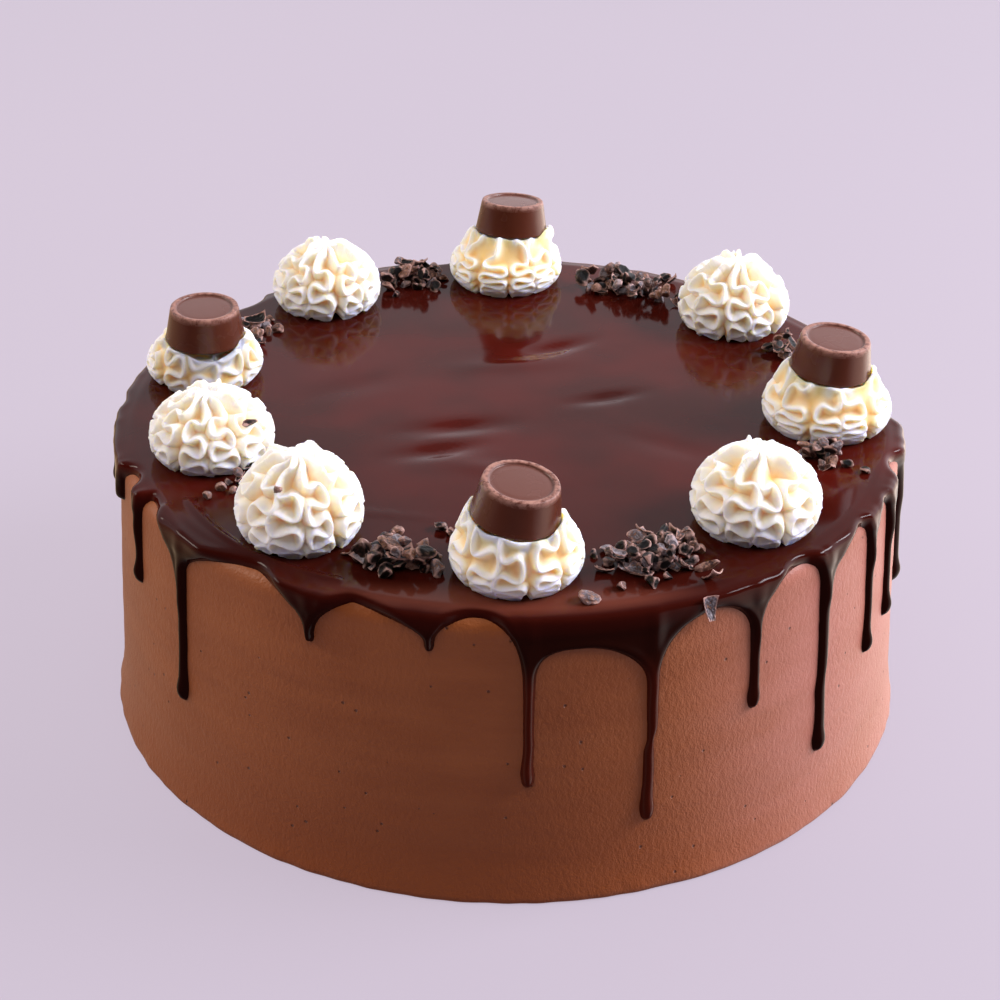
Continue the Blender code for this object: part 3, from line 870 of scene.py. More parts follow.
def glaze_heights(drips, columns, rows, inside, settings):
    """How far the glaze stands over the icing on the grid, in mm."""
    x = columns[None, :]
    y = rows[:, None]
    full = settings.top + (settings.skirt - settings.top) * smooth(y, *SKIRT_START) + np.zeros_like(inside)
    rounding = np.full_like(inside, ROUNDING)

    # Each run ends in a bead with rounder sides, and the glaze swells in a keel above it.
    for number, drip in enumerate(drips):
        share = np.clip((rows - drip.before) / max(drip.tip - drip.before, 1.0), 0.0, 1.0)
        middle = across(drip.angle) + run_middle(number, drip, share)[:, None]
        gap = short_way(x - middle)
        beside = bell(gap, RUN_SPREAD)
        bead = bell(y - drip.tip + BEAD_REACH, BEAD_LENGTH)
        run = settings.run + (settings.bead - settings.run) * bead
        rounding += TIP_ROUNDING * beside * bell(y - drip.tip, TIP_LENGTH)
        full += (run - full) * (beside * smooth(y, drip.before - 4.0, drip.before + 3.0))
        ended = 1.0 - smooth(y, drip.before, drip.before + 7)
        full += settings.keel * bell(gap, KEEL_SPREAD) * smooth(y, *KEEL_START) * ended

    # A swelling just under the cake's top edge, and one along the glaze's own edge in its upper part.
    full += settings.edge * bell(y - BRINK_REACH, 1.0)
    ended = 1.0 - smooth(y, *LIP_END)
    full += settings.lip * bell(inside - LIP_INSET, 1.0) * ended * smooth(y, *LIP_START)
    rise = np.sqrt(1.0 - (1.0 - np.clip(inside / rounding, 0.0, 1.0)) ** 2)
    height = np.where(inside > 0.0, full * rise, np.maximum(UNDERSIDE, inside * DIVE))
    for ripple in RIPPLES:
        height += ripple_height(ripple, x, y) * smooth(inside, 0.3, 1.6)
    for _ in range(settings.smoothing):
        height = evened(height)
    return height


def slow_swell(points, settings):
    """How far the slow waves in the top lift each point."""
    return settings.swell * rough(points, SWELL_SIZE, seed=5.0)


def glaze_cap(points, ring, angles, settings):
    """Rings from the grid's first row in to the middle of the top, with fewer points towards it."""
    rings = [ring]
    angles = angles[1::2]
    radius = float(outline(FIRST_REACH * MM, 0.0)[0]) / MM - CAP_STEP * 0.7
    while radius > CAP_STEP:
        x, y = radius * np.cos(np.radians(angles)), radius * np.sin(np.radians(angles))
        height = (settings.top - dent_depth(x, y)) * MM + CAKE_TOP
        made = np.stack((x * MM, y * MM, height), axis=-1)
        made[:, 2] += slow_swell(made, settings)
        add_ring(points, rings, made)
        if radius < CAP_HALVING.get(len(angles), 0.0):
            angles = angles[1::2]
        radius -= CAP_STEP
    return rings


def make_glaze(settings):
    """The glaze: a height over the icing on a fine grid, closed by a coarser underside."""
    drips = all_drips()
    angles = column_angles(drips)
    columns = across(angles)
    fine = FIRST_REACH + FINE_STEP * np.arange(FINE_ROWS + 1)
    rows = np.concatenate((fine, fine[-1] + COARSE_STEP * np.arange(1, COARSE_ROWS + 1)))
    inside = edge_distance(glaze_outline(drips), columns, rows)
    height = glaze_heights(drips, columns, rows, inside, settings)
    grid = np.empty((len(rows), COLUMNS, 3))
    for k, reach in enumerate(rows):
        radius, level = outline(reach * MM, height[k] * MM)
        grid[k] = on_rings(angles, radius, level)
    swell = slow_swell(grid.reshape(-1, 3), settings).reshape(inside.shape)
    height += swell / MM * smooth(inside, 0.0, 2.0)
    blocks = np.zeros((len(rows) // BLOCK, COLUMNS // BLOCK), dtype=bool)
    for i, j in np.ndindex(blocks.shape):
        part = inside[i * BLOCK:(i + 1) * BLOCK + 1, np.arange(j * BLOCK, (j + 1) * BLOCK + 1) % COLUMNS]
        blocks[i, j] = part.max() > UNDERSIDE / DIVE - 0.25
    return mesh_of_blocks(height, blocks, angles, rows, settings)


def mesh_of_blocks(height, blocks, angles, rows, settings):
    """The kept blocks of the grid with their underside, and the cap in the middle.

    A point is kept beside a quad of a kept block, and lies on the border where not all four quads are.
    """
    numbers = np.full(height.shape, -1)
    points = []
    faces = []
    spread = np.kron(blocks, np.ones((BLOCK, BLOCK), dtype=bool))
    kept = np.zeros(height.shape, dtype=bool)
    around = np.zeros(height.shape, dtype=int)
    for down, aside in ((0, 0), (1, 0), (0, 1), (1, 1)):
        shifted = np.roll(spread, aside, axis=1)
        kept[down:len(rows) - 1 + down] |= shifted
        around[down:len(rows) - 1 + down] += shifted
    border = kept & (around < 4)
    border[0] = False
    height = np.where(border, UNDERSIDE, height)

    def new_point(i, j, height):
        radius, level = outline(rows[i] * MM, height * MM)
        points.append(at(angles[j], radius, level))
        return len(points) - 1

    for i, j in np.argwhere(kept):
        numbers[i, j] = new_point(i, j, height[i, j])
    lower = {}

    def below(i, j):
        """The underside's point at a corner of a block: the upper one itself along the glaze's edge."""
        if border[i, j]:
            return int(numbers[i, j])
        if (i, j) not in lower:
            lower[i, j] = new_point(i, j, UNDERSIDE)
        return lower[i, j]

    # Quads over each block, and one face under it with all the points of its open sides.
    for i, j in np.argwhere(spread):
        beside = (j + 1) % COLUMNS
        corners = (numbers[i, j], numbers[i + 1, j], numbers[i + 1, beside], numbers[i, beside])
        faces.append(tuple(int(n) for n in corners))
    for i, j in np.argwhere(blocks):
        left, right, top, foot = j * BLOCK, (j + 1) * BLOCK, i * BLOCK, (i + 1) * BLOCK
        way = [(top, left + k) for k in range(BLOCK)] + [(top + k, right) for k in range(BLOCK)]
        way += [(foot, right - k) for k in range(BLOCK)] + [(foot - k, left) for k in range(BLOCK)]
        open_sides = (
            i > 0 and not blocks[i - 1, j],
            not blocks[i, (j + 1) % blocks.shape[1]],
            i + 1 == len(blocks) or not blocks[i + 1, j],
            not blocks[i, j - 1],
        )
        loop = []
        for k, (row, column) in enumerate(way):
            if k % BLOCK == 0 or open_sides[k // BLOCK]:
                loop.append(below(row, column % COLUMNS))
        faces.append(tuple(loop))

    # The middle of the top, and that of the underside.
    first = [int(n) for n in numbers[0]]
    rings = glaze_cap(points, first, angles, settings)
    faces += [tuple(reversed(face)) for face in ring_faces(rings)]
    points += [(0.0, 0.0, CAKE_TOP + settings.top * MM), (0.0, 0.0, CAKE_TOP + UNDERSIDE * MM)]
    middle = len(points) - 2
    faces += fan(middle, rings[-1])
    under = [below(0, j) for j in range(0, COLUMNS, BLOCK)]
    faces += fan(middle + 1, under, downwards=True)
    return mesh_from("glaze", points, faces)


def glaze_finish(settings):
    """Dark chocolate glaze: deep red-brown and glossy, a little dulled in patches, with painted shade down
    the side and towards the front of the top, and a painted reflection along the front brink.
    """
    finish = Finish("glaze", {"Specular IOR Level": settings.gloss})
    place = finish.place()
    clouds = finish.noise(place, 30 * MM, 2.0)
    colour = finish.mix(settings.colour, settings.dark, clouds.between(0.3, 0.7))
    height = place.along(UP)
    ahead = place.along((0.0, -1.0, 0.0))

    # Painted shade: the side is darker than the top, less so down the runs at the front. The top darkens
    # towards the front, a painted fading of its reflection, up to a paler brink that is a painted
    # reflection.
    runs = 1.0 - height.between(56 * MM, 66 * MM)
    side = finish.mix(settings.low, settings.front, ahead.between(76 * MM, 98 * MM) * runs)
    upper = finish.mix(colour, settings.dark, ahead.between(20 * MM, 80 * MM))
    flat = height.between(76.2 * MM, 76.8 * MM)
    # Painted reflection: a paler band on the flat top along its front brink.
    upper = finish.mix(upper, settings.thin, ahead.between(85 * MM, 94 * MM) * flat * 0.8)
    colour = finish.mix(side, upper, height.between(70 * MM, 76 * MM))
    haze = finish.noise(place, 14 * MM, 3.0, 0.6)
    ripple = finish.noise(place, 7 * MM, 2.0)
    return finish.surface(colour, settings.roughness + 0.11 * haze, ripple, 0.05 * MM, 0.5)


# ---------------------------------------------------------------- piped cream


def dome_section(rosette, bend, inset=0.0):
    """(radius, height) in mm on a rosette's rounded form, for an angle round its section in degrees."""
    waist = rosette.height * ROSETTE_WAIST
    lowest = math.sin(math.radians(LOWEST_BEND))
    rise = np.sin(np.radians(bend))
    height = np.where(rise < 0, waist * (1 - rise / lowest), waist + (rosette.height - waist) * rise)
    return rosette.width / 2 * np.cos(np.radians(bend)) - inset, height


def dome_rows(rosette, count):
    """Radius, height and the section's way out at evenly spaced places from the peak to the base."""
    radius, height = dome_section(rosette, np.linspace(90.0, LOWEST_BEND, 600))
    along = running_total(np.hypot(np.diff(radius), np.diff(height)))
    even = np.linspace(0.0, along[-1], count)
    radius, height = (np.interp(even, along, values) for values in (radius, height))
    out = np.stack((-np.gradient(height), np.gradient(radius)), axis=-1)
    return radius, height, out / np.linalg.norm(out, axis=1)[:, None]


def rosette_place(rosette):
    """The middle of a rosette's base in mm, a little way down in the glaze."""
    return np.array((rosette.x, rosette.y, GLAZE_TOP / MM - ROSETTE_SUNK))


def candy_place(candy):
    """Where a candy stands: its base's centre, leaning towards lean_angle."""
    direction = math.radians(candy.lean_angle)
    axis = Vector((-math.sin(direction), math.cos(direction), 0.0))
    place = Matrix.Translation((candy.x * MM, candy.y * MM, candy.base * MM))
    return place @ Matrix.Rotation(math.radians(candy.lean), 4, axis)


def press(points, candy):
    """Points of a rosette, in mm, pressed flat under a candy and up round it, and how near it they are."""
    if not candy:
        return np.array(points), [0.0] * len(points)
    place = candy_place(candy)
    back = place.inverted()
    pressed = []
    near = []
    for point in points:
        # In the candy's own space: how far outside its foot, and how high the cream wants to stand there.
        local = (back @ (Vector(point) * MM)) / MM
        radius = math.hypot(local.x, local.y)
        outside = radius - CANDY_FOOT_RADIUS / MM
        rise = smooth(outside, *COLLAR_RISE)
        ear = COLLAR_EAR * smooth(abs(local.x) / max(radius, 1.0), 0.65, 0.95) * smooth(-local.y, -4.0, 0.0)
        ear *= 1.0 if local.x > 0 else LEFT_EAR
        collar = COLLAR + ear + COLLAR_UNEVENNESS * noise.noise(local / 4.0)
        want = CANDY_FOOT / MM - 0.1 + rise * collar

        # Cream over that height is pressed down, and cream just under it is drawn up into a collar.
        if local.z > want:
            local.z += (want - local.z) * (1.0 - smooth(outside, *PRESSED_REACH))
        else:
            drawn = rise * (1.0 - smooth(outside, *DRAWN_REACH)) * smooth(local.z, -9.0, -3.0)
            local.z += (want - local.z) * drawn
        pressed.append(tuple((place @ (local * MM)) / MM))
        near.append(1.0 - smooth(outside, *NEAR_REACH))
    return np.array(pressed), near


def dome_mesh(rosette, candy):
    """A closed dome in fine quads, with each point's way out and its share of the way down."""
    radius, height, out = dome_rows(rosette, DOME_ROWS)
    angles = even_angles(DOME_COLUMNS)
    points = [(0.0, 0.0, height[0])]
    ways = [(0.0, 0.0, 1.0)]
    shares = [0.0]
    rings = []
    for k in range(1, DOME_ROWS):
        add_ring(points, rings, on_rings(angles, radius[k], height[k]))
        ways += list(on_rings(angles, out[k, 0], out[k, 1]))
        shares += [k / (DOME_ROWS - 1)] * DOME_COLUMNS
    faces = close_turned(points, rings, (0.0, 0.0, 0.0))
    ways.append((0.0, 0.0, 0.0))
    shares.append(1.0)
    points, near = press(np.array(points) + rosette_place(rosette), candy)
    mesh = mesh_from("dome", points * MM, faces)
    put_attribute(mesh, "near", near)
    put_attribute(mesh, "outwards", ways, "FLOAT_VECTOR")
    put_attribute(mesh, "share", shares)
    return mesh


def rim_path(rng, settings, half, top):
    """(share of the way down, angle off the middle, lift in mm) along a rim that folds from the top on."""
    folds = settings.folds * rng.uniform(*RIM_FOLDS) * (PRESSED_FOLDS if top == PRESSED else 1.0)
    start = top + rng.uniform(*RIM_START)
    side = rng.choice((-1.0, 1.0))
    swing = half * rng.uniform(*RIM_SWING)
    wobble = [rng.uniform(*FOLD_SWING) for _ in range(math.ceil(2 * folds) + 2)]
    tail_place = rng.uniform(*TAIL_PLACE)
    tail = rng.uniform(*TAIL_HEIGHT) * settings.tails / MM
    path = [(start * k / 8, 0.0) for k in range(8)]
    for step in range(RIM_STEPS + 1):
        turn = math.tau * folds * step / RIM_STEPS
        way = (step / RIM_STEPS) ** settings.opening
        grown = smooth(way, 0.0, 0.2)
        loop = settings.looping * math.sin(2 * turn) / (math.tau * folds)
        part = turn / math.pi
        size = wobble[int(part)] * (1 - part % 1) + wobble[int(part) + 1] * (part % 1)
        share = start + (1.0 - start) * (way - loop * grown)
        path.append((share, side * swing * size * grown * math.sin(turn)))
    rim = []
    for share, angle in path:
        lift = tail * float(bell(share - tail_place, TAIL_LENGTH))
        rim.append((share, angle, lift + rng.uniform(-RIM_UNEVENNESS, RIM_UNEVENNESS)))
    return rim


def rim_mesh(rosette, candy, rng, settings):
    """The ribbon's rims as lines on the dome, straight near the peak and folded from side to side below."""
    rows = 400
    radius, height, _ = dome_rows(rosette, rows)
    half = 180.0 / settings.columns
    top = PRESSED if candy else BARE
    points = []
    edges = []
    lifts = []
    for number in range(settings.columns):
        middle = rosette.turn + (number + rng.uniform(-RIM_SHIFT, RIM_SHIFT)) * 2 * half
        for k, (share, angle, lift) in enumerate(rim_path(rng, settings, half, top)):
            row = min(max(share, 0.0), 1.0) * (rows - 1)
            r, z = (np.interp(row, range(rows), values) for values in (radius, height))
            if k:
                edges.append((len(points) - 1, len(points)))
            points.append(tuple(at(middle + angle, r, z)))
            lifts.append(0.0 if candy else lift)
    points, _ = press(np.array(points) + rosette_place(rosette), candy)
    mesh = mesh_from("rims", points * MM, [], edges)
    put_attribute(mesh, "lift", lifts)
    return mesh


def cream_recipe():
    """Sinks a dome between the rims of its ribbon and lets each fold droop over the one below."""
    inputs = {
        "Geometry": "geometry", "Rims": "object", "Rim Width": "number", "Rim Softness": "number",
        "Rim Height": "number", "Slope": "number", "Groove Depth": "number", "Droop": "number",
        "Warmth": "number", "Finish": "material",
    }
    recipe = Recipe("piped cream", inputs)
    sockets = {"Object": recipe.input("Rims")}
    rims = recipe.add("GeometryNodeObjectInfo", {"transform_space": "RELATIVE"}, sockets, "Geometry")
    near = recipe.add("GeometryNodeProximity", {"target_element": "EDGES"}, {"Target": rims}, "Distance")

    # How far a point lies beyond the rim, and how deep it is: a step beside the rim, then a slope.
    beyond = near - recipe.input("Rim Width") * 0.5
    soft = recipe.input("Rim Softness")
    beyond = (beyond + (beyond * beyond + soft * soft) ** 0.5) * 0.5
    groove = recipe.input("Groove Depth")
    step = recipe.input("Rim Height")
    slope = recipe.input("Slope") / (groove - step)
    depth = step * (1.0 - math.e ** (beyond * -RIM_STEEPNESS / step))
    depth = depth + (groove - step) * (1.0 - math.e ** (beyond * slope * -1.0))

    # The cut goes in, the rim hangs down, and the tails round the peak are lifted.
    free = 1.0 - recipe.stored("near")
    nearest = recipe.add("GeometryNodeSampleNearest", {"domain": "POINT"}, {"Geometry": rims}, "Index")
    plain = {"data_type": "FLOAT", "domain": "POINT"}
    sockets = {"Geometry": rims, "Value": recipe.stored("lift"), "Index": nearest}
    lift = recipe.add("GeometryNodeSampleIndex", plain, sockets, "Value")
    rim = 1.0 - depth / groove
    out = recipe.stored("outwards", "FLOAT_VECTOR")
    down = out * out.along(UP) - UP
    hang = recipe.input("Droop") * groove * rim * free * (1.0 - recipe.stored("share").between(0.8, 1.0))
    cut = depth * (free * 0.7 + 0.3)
    offset = out * (lift * MM * rim * rim - cut) + down * hang
    sockets = {"Geometry": recipe.input("Geometry"), "Offset": offset}
    moved = recipe.add("GeometryNodeSetPosition", {}, sockets)
    # The depth, times the share of painted glow, is stored for the finish's painted glow and shade.
    sockets = {"Geometry": moved, "Name": "depth", "Value": depth / groove * recipe.input("Warmth")}
    recipe.finish(recipe.add("GeometryNodeStoreNamedAttribute", plain, sockets))
    return recipe


def cream_finish(settings):
    """Whipped cream: white rims, with painted glow and shade that turn it yellow deep between the folds and
    beside a candy.
    """
    even = {"Subsurface Weight": 1.0, "Subsurface Radius": (1.0, 0.88, 0.5), "Subsurface Scale": 3.0 * MM,
            "Specular IOR Level": 0.3}
    finish = Finish("cream", even)
    place = finish.place()
    patches = finish.noise(place, 4 * MM, 2.0) - 0.5
    # Painted glow and shade: yellower with depth between the folds, a little more beside a candy, and
    # uneven in patches.
    deep = finish.attribute("depth") + finish.attribute("near") * 0.06 + patches * 0.2
    stops = (
        (0.0, settings.rim), (0.36, settings.rim), (0.64, settings.face), (1.0, settings.groove_colour),
    )
    roughness = 0.42 + 0.15 * finish.noise(place, 2 * MM)
    grain = finish.noise(place, 0.7 * MM, 2.0)
    return finish.surface(finish.ramp(deep, stops), roughness, grain, 0.05 * MM, 0.6)


# ---------------------------------------------------------------- candies


def candy_profile():
    """(radius, height) from the middle of the sunk disc, over the rim and down to the base's middle."""
    # The disc, which is a little domed, with a narrow dip beside the rim.
    disc = CANDY_TOP_RADIUS - CANDY_RIM
    sunk = CANDY_HEIGHT - CANDY_SINK
    profile = [(disc * s, sunk + 0.12 * MM * (1 - s * s)) for s in (0.1, 0.3, 0.5, 0.7, 0.85)]
    profile += [(disc - 0.5 * MM, sunk - 0.06 * MM), (disc - 0.25 * MM, sunk + 0.08 * MM)]

    # The round rim, the straight side and the rounded edge at the foot.
    ring_middle = (disc + CANDY_TOP_RADIUS) / 2 - 0.1 * MM
    ring_half = CANDY_RIM / 2 + 0.1 * MM
    for k in range(9):
        turn = math.pi * (1 - k / 8)
        level = CANDY_HEIGHT - CANDY_SINK * 0.7 + CANDY_SINK * 0.7 * math.sin(turn) ** 0.7
        profile.append((ring_middle + ring_half * math.cos(turn), level))
    for k in range(1, 15):
        height = (CANDY_HEIGHT - CANDY_EDGE) * (1 - k / 15) + (CANDY_FOOT + CANDY_EDGE) * k / 15
        profile.append((CANDY_RADIUS - CANDY_SLOPE * height, height))
    for k in range(5):
        turn = math.pi / 2 * k / 4
        level = CANDY_FOOT + CANDY_EDGE * (1 - math.sin(turn))
        profile.append((CANDY_FOOT_RADIUS - CANDY_EDGE * (1 - math.cos(turn)), level))
    return profile


def candy_mesh(candy, seed):
    """A turned candy with small dents, standing in its rosette."""
    angles = even_angles(CANDY_COLUMNS)
    profile = candy_profile()
    points = [(0.0, 0.0, profile[0][1])]
    rings = []
    for radius, height in profile:
        ring = on_rings(angles, radius, height)
        uneven = 0.07 * rough(ring, 3.2 * MM, seed) + 0.10 * rough(ring, 8 * MM, seed + 4)
        ring += ring / max(radius, 3 * MM) * uneven[:, None] * MM * (0.3, 0.3, 0.0)
        ring[:, 2] += uneven * 0.6 * MM * min(1.0, radius / CANDY_TOP_RADIUS) * (height > CANDY_HEIGHT / 2)
        add_ring(points, rings, ring)
    faces = close_turned(points, rings, (0.0, 0.0, CANDY_FOOT))
    mesh = mesh_from("candy_" + candy.name, points, faces)
    x, y, z = np.array(points).T
    rims = smooth(np.hypot(x, y), CANDY_TOP_RADIUS - 1.7 * MM, CANDY_TOP_RADIUS - 0.9 * MM)
    put_attribute(mesh, "rim", rims * smooth(z, CANDY_HEIGHT - 1.4 * MM, CANDY_HEIGHT - 0.3 * MM))
    put_attribute(mesh, "top", smooth(z, CANDY_HEIGHT - 1.6 * MM, CANDY_HEIGHT - 0.6 * MM))
    mesh.transform(candy_place(candy))
    return mesh


def candy_finish(settings):
    """Milk chocolate: satin, with a dusty bloom and scuffs round the rim."""
    finish = Finish("candy", {"Specular IOR Level": 0.3})
    place = finish.place()
    dust = finish.noise(place, 1.3 * MM, 4.0, 0.7)
    clouds = finish.noise(place, 7 * MM, 2.0)
    bloom = finish.attribute("rim") * dust.between(0.35, 0.62)
    # Paler over the top than down the side.
    face = finish.mix(settings.colour, settings.pale, finish.attribute("top") * 0.8 + clouds * 0.2)
    colour = finish.mix(face, settings.bloom, bloom * 0.75)
    return finish.surface(colour, 0.2 + 0.12 * clouds + 0.3 * bloom, dust, 0.06 * MM, 0.5)


# ---------------------------------------------------------------- cacao nibs


def crumb_mesh(rng, stretch, cuts):
    """An angular crumb of cacao bean: a ball with flat faces broken off it."""
    bm = bmesh.new()
    bmesh.ops.create_icosphere(bm, subdivisions=3, radius=1.0)
    for _ in range(cuts):
        normal = Vector([rng.gauss(0, 1) for _ in range(3)]).normalized()
        level = rng.uniform(0.45, 0.8)
        for vert in bm.verts:
            over = vert.co.dot(normal) - level
            if over > 0:
                vert.co -= normal * over
    shift = Vector((rng.uniform(0, 50), 0, 0))
    for vert in bm.verts:
        vert.co *= 1.0 + 0.13 * noise.noise(vert.co * 2.6 + shift)
        vert.co = Vector(a * b for a, b in zip(vert.co, stretch))
    return mesh_of(bm, "crumb")


def flake_mesh(rng):
    """A curved flake of husk, thin and pointed at one end."""
    bm = bmesh.new()
    bmesh.ops.create_grid(bm, x_segments=10, y_segments=6, size=1.0)
    for vert in bm.verts:
        x, y = vert.co.x, vert.co.y * (1.0 - 0.45 * vert.co.x) * 0.62
        bend = 0.55 * y * y + 0.28 * x * x
        vert.co = Vector((x * 1.35, y, bend + 0.06 * rng.uniform(-1, 1)))
    bmesh.ops.solidify(bm, geom=bm.faces[:], thickness=0.16)
    bmesh.ops.recalc_face_normals(bm, faces=bm.faces)
    return mesh_of(bm, "flake")


def nib_kinds(rng):
    """A few crumbs and flakes to choose from, in a collection of their own."""
    kinds = bpy.data.collections.new("nib_kinds")
    bpy.context.scene.collection.children.link(kinds)
    meshes = [crumb_mesh(rng, stretch, cuts) for stretch, cuts in CRUMBS]
    meshes += [flake_mesh(rng) for _ in range(FLAKES)]
    for k, mesh in enumerate(meshes):
        kinds.objects.link(bpy.data.objects.new(f"kind_{k}", mesh))
    return kinds


Nib = namedtuple("Nib", "point size kind tone turn")


def clear_of_rosettes(point, size):
    """Whether a nib of this size would lie beside the cream."""
    for rosette in ROSETTES:
        room = rosette.width / 2 * MM + size * NIB_ROOM
        if math.hypot(point.x - rosette.x * MM, point.y - rosette.y * MM) < room:
            return False
    return True


def rest_height(point, size, placed):
    """The height at which a nib comes to rest on the glaze or on the nibs under it."""
    height = GLAZE_TOP + size * NIB_REST
    for other in placed:
        reach = (size + other.size) * NIB_TOUCH
        gap = math.hypot(point.x - other.point.x, point.y - other.point.y)
        if gap < reach:
            height = max(height, other.point.z + math.sqrt(reach * reach - gap * gap) * NIB_SETTLE)
    return height


def nib_turn(rng, tilt):
    """Any turn round the upright, with a tilt of about this much."""
    return (rng.gauss(0, tilt), rng.gauss(0, tilt), rng.uniform(0, math.tau))


def scatter_nibs(rng, settings):
    """Every nib's place, size, kind, tone and turn: heaps, single ones and those caught on the cream."""
    nibs = []
    for lone in LONE_NIBS:
        point = at(lone.angle, lone.radius * MM, GLAZE_TOP + lone.rise * MM)
        nibs.append(Nib(point, lone.size * MM, lone.kind, lone.tone, [math.radians(t) for t in lone.turn]))
    for name, angle, bend in ROSETTE_NIBS:
        rosette = next(r for r in ROSETTES if r.name == name)
        radius, height = dome_section(rosette, bend, 0.5)
        centre = Vector(rosette_place(rosette) * MM)
        point = centre + at(angle, float(radius) * MM, float(height) * MM)
        nibs.append(Nib(point, size=1.5 * MM, kind=2, tone=0.6, turn=nib_turn(rng, 0.7)))
    for heap in HEAPS:
        placed = []
        for _ in range(heap.count * NIB_TRIES):
            if len(placed) >= heap.count * settings.amount:
                break
            size = rng.uniform(heap.smallest, heap.largest) * MM
            along = rng.gauss(0, HEAP_SPREAD) * heap.along
            out = rng.gauss(0, HEAP_SPREAD) * heap.across
            angle = heap.angle + math.degrees(along / heap.radius)
            point = at(angle, (heap.radius + out) * MM, 0.0)
            point.z = rest_height(point, size, placed)
            if point.z > GLAZE_TOP + HEAP_HEIGHT or not clear_of_rosettes(point, size):
                continue
            kind = rng.choices(range(len(KIND_WEIGHTS)), KIND_WEIGHTS)[0]
            placed.append(Nib(point, size, kind, rng.random(), nib_turn(rng, 0.5)))
        nibs += placed
    return nibs


def nib_recipe():
    """Puts a crumb on each point and makes them one mesh."""
    recipe = Recipe("cacao nibs", {"Geometry": "geometry", "Kinds": "collection", "Finish": "material"})
    settings = {"transform_space": "RELATIVE"}
    sockets = {"Collection": recipe.input("Kinds"), "Separate Children": True, "Reset Children": True}
    kinds = recipe.add("GeometryNodeCollectionInfo", settings, sockets)
    turn = recipe.add("FunctionNodeEulerToRotation", {}, {"Euler": recipe.stored("turn", "FLOAT_VECTOR")})
    sockets = {
        "Points": recipe.input("Geometry"), "Instance": kinds, "Pick Instance": True,
        "Instance Index": recipe.stored("kind", "INT"), "Rotation": turn, "Scale": recipe.stored("size"),
    }
    recipe.finish(recipe.add("GeometryNodeInstanceOnPoints", {}, sockets))
    return recipe


def nib_finish(settings):
    """Roasted cacao: near-black to tan crumbs and grey husk, with a painted highlight on the crumbs' sharp
    edges.
    """
    finish = Finish("nib", {"Specular IOR Level": 0.3})
    place = finish.place()
    speckle = finish.noise(place, 0.8 * MM, 3.0, 0.7)
    tone = finish.attribute("tone") + (speckle - 0.5) * 0.7
    stops = (
        (0.0, settings.dark), (0.54, settings.dark), (0.64, settings.brown), (0.76, settings.tan),
        (0.86, settings.husk), (1.0, settings.pale_husk),
    )
    # Painted highlight: a paler colour where the crumbs' edges are sharp.
    edge = finish.add("ShaderNodeNewGeometry", output="Pointiness").between(0.525, 0.6)
    colour = finish.mix(finish.ramp(tone, stops), settings.edge, edge * 0.8)
    return finish.surface(colour, 0.38 + 0.3 * speckle, speckle, 0.15 * MM)


# ---------------------------------------------------------------- stage


def set_camera():
    """The photograph's point of view: a little above the cake, and very slightly rolled."""
    data = bpy.data.cameras.new("camera")
    data.lens = 79.2
    data.sensor_width = 36.0
    data.shift_x = -0.00844
    camera = new_object("camera", data)
    pitch, roll, distance = math.radians(29.113), math.radians(0.8385), 0.5785
    ahead = Vector((0.0, math.cos(pitch), -math.sin(pitch)))
    up = Vector((0.0, math.sin(pitch), math.cos(pitch)))
    right = Vector((1.0, 0.0, 0.0))
    rolled_right = right * math.cos(roll) + up * math.sin(roll)
    rolled_up = up * math.cos(roll) - right * math.sin(roll)
    place = Matrix((rolled_right, rolled_up, -ahead)).transposed().to_4x4()
    place.translation = MIDDLE - ahead * distance
    camera.matrix_world = place
    bpy.context.scene.camera = camera


def add_light(light, energy):
    """A soft light aimed at the cake."""
    data = bpy.data.lights.new(light.name, "AREA")
    data.shape = "ELLIPSE"
    data.size = light.width
    data.size_y = light.height
    data.energy = energy
    data.color = light.colour
    obj = new_object(light.name, data)
    obj.location = light.place
    obj.visible_glossy = light.mirrored
    obj.rotation_mode = "QUATERNION"
    obj.rotation_quaternion = (MIDDLE - Vector(light.place)).to_track_quat("-Z", "Y")


def make_floor(settings):
    """A wide pale floor, level with the cake's base."""
    bm = bmesh.new()
    bmesh.ops.create_circle(bm, cap_ends=True, segments=96, radius=7.0)
    even = {"Specular IOR Level": 0.2, "Roughness": 0.6, "Emission Strength": settings.glow}
    finish = Finish("floor", even)
    shade = finish.noise(finish.place(), 0.5, 1.0)
    colour = finish.mix(settings.floor, settings.floor_shade, shade)
    finish.set("Base Color", colour)
    finish.set("Emission Color", colour)
    floor = new_object("floor", mesh_of(bm, "floor"), finish.material)
    floor.visible_glossy = False
    return floor


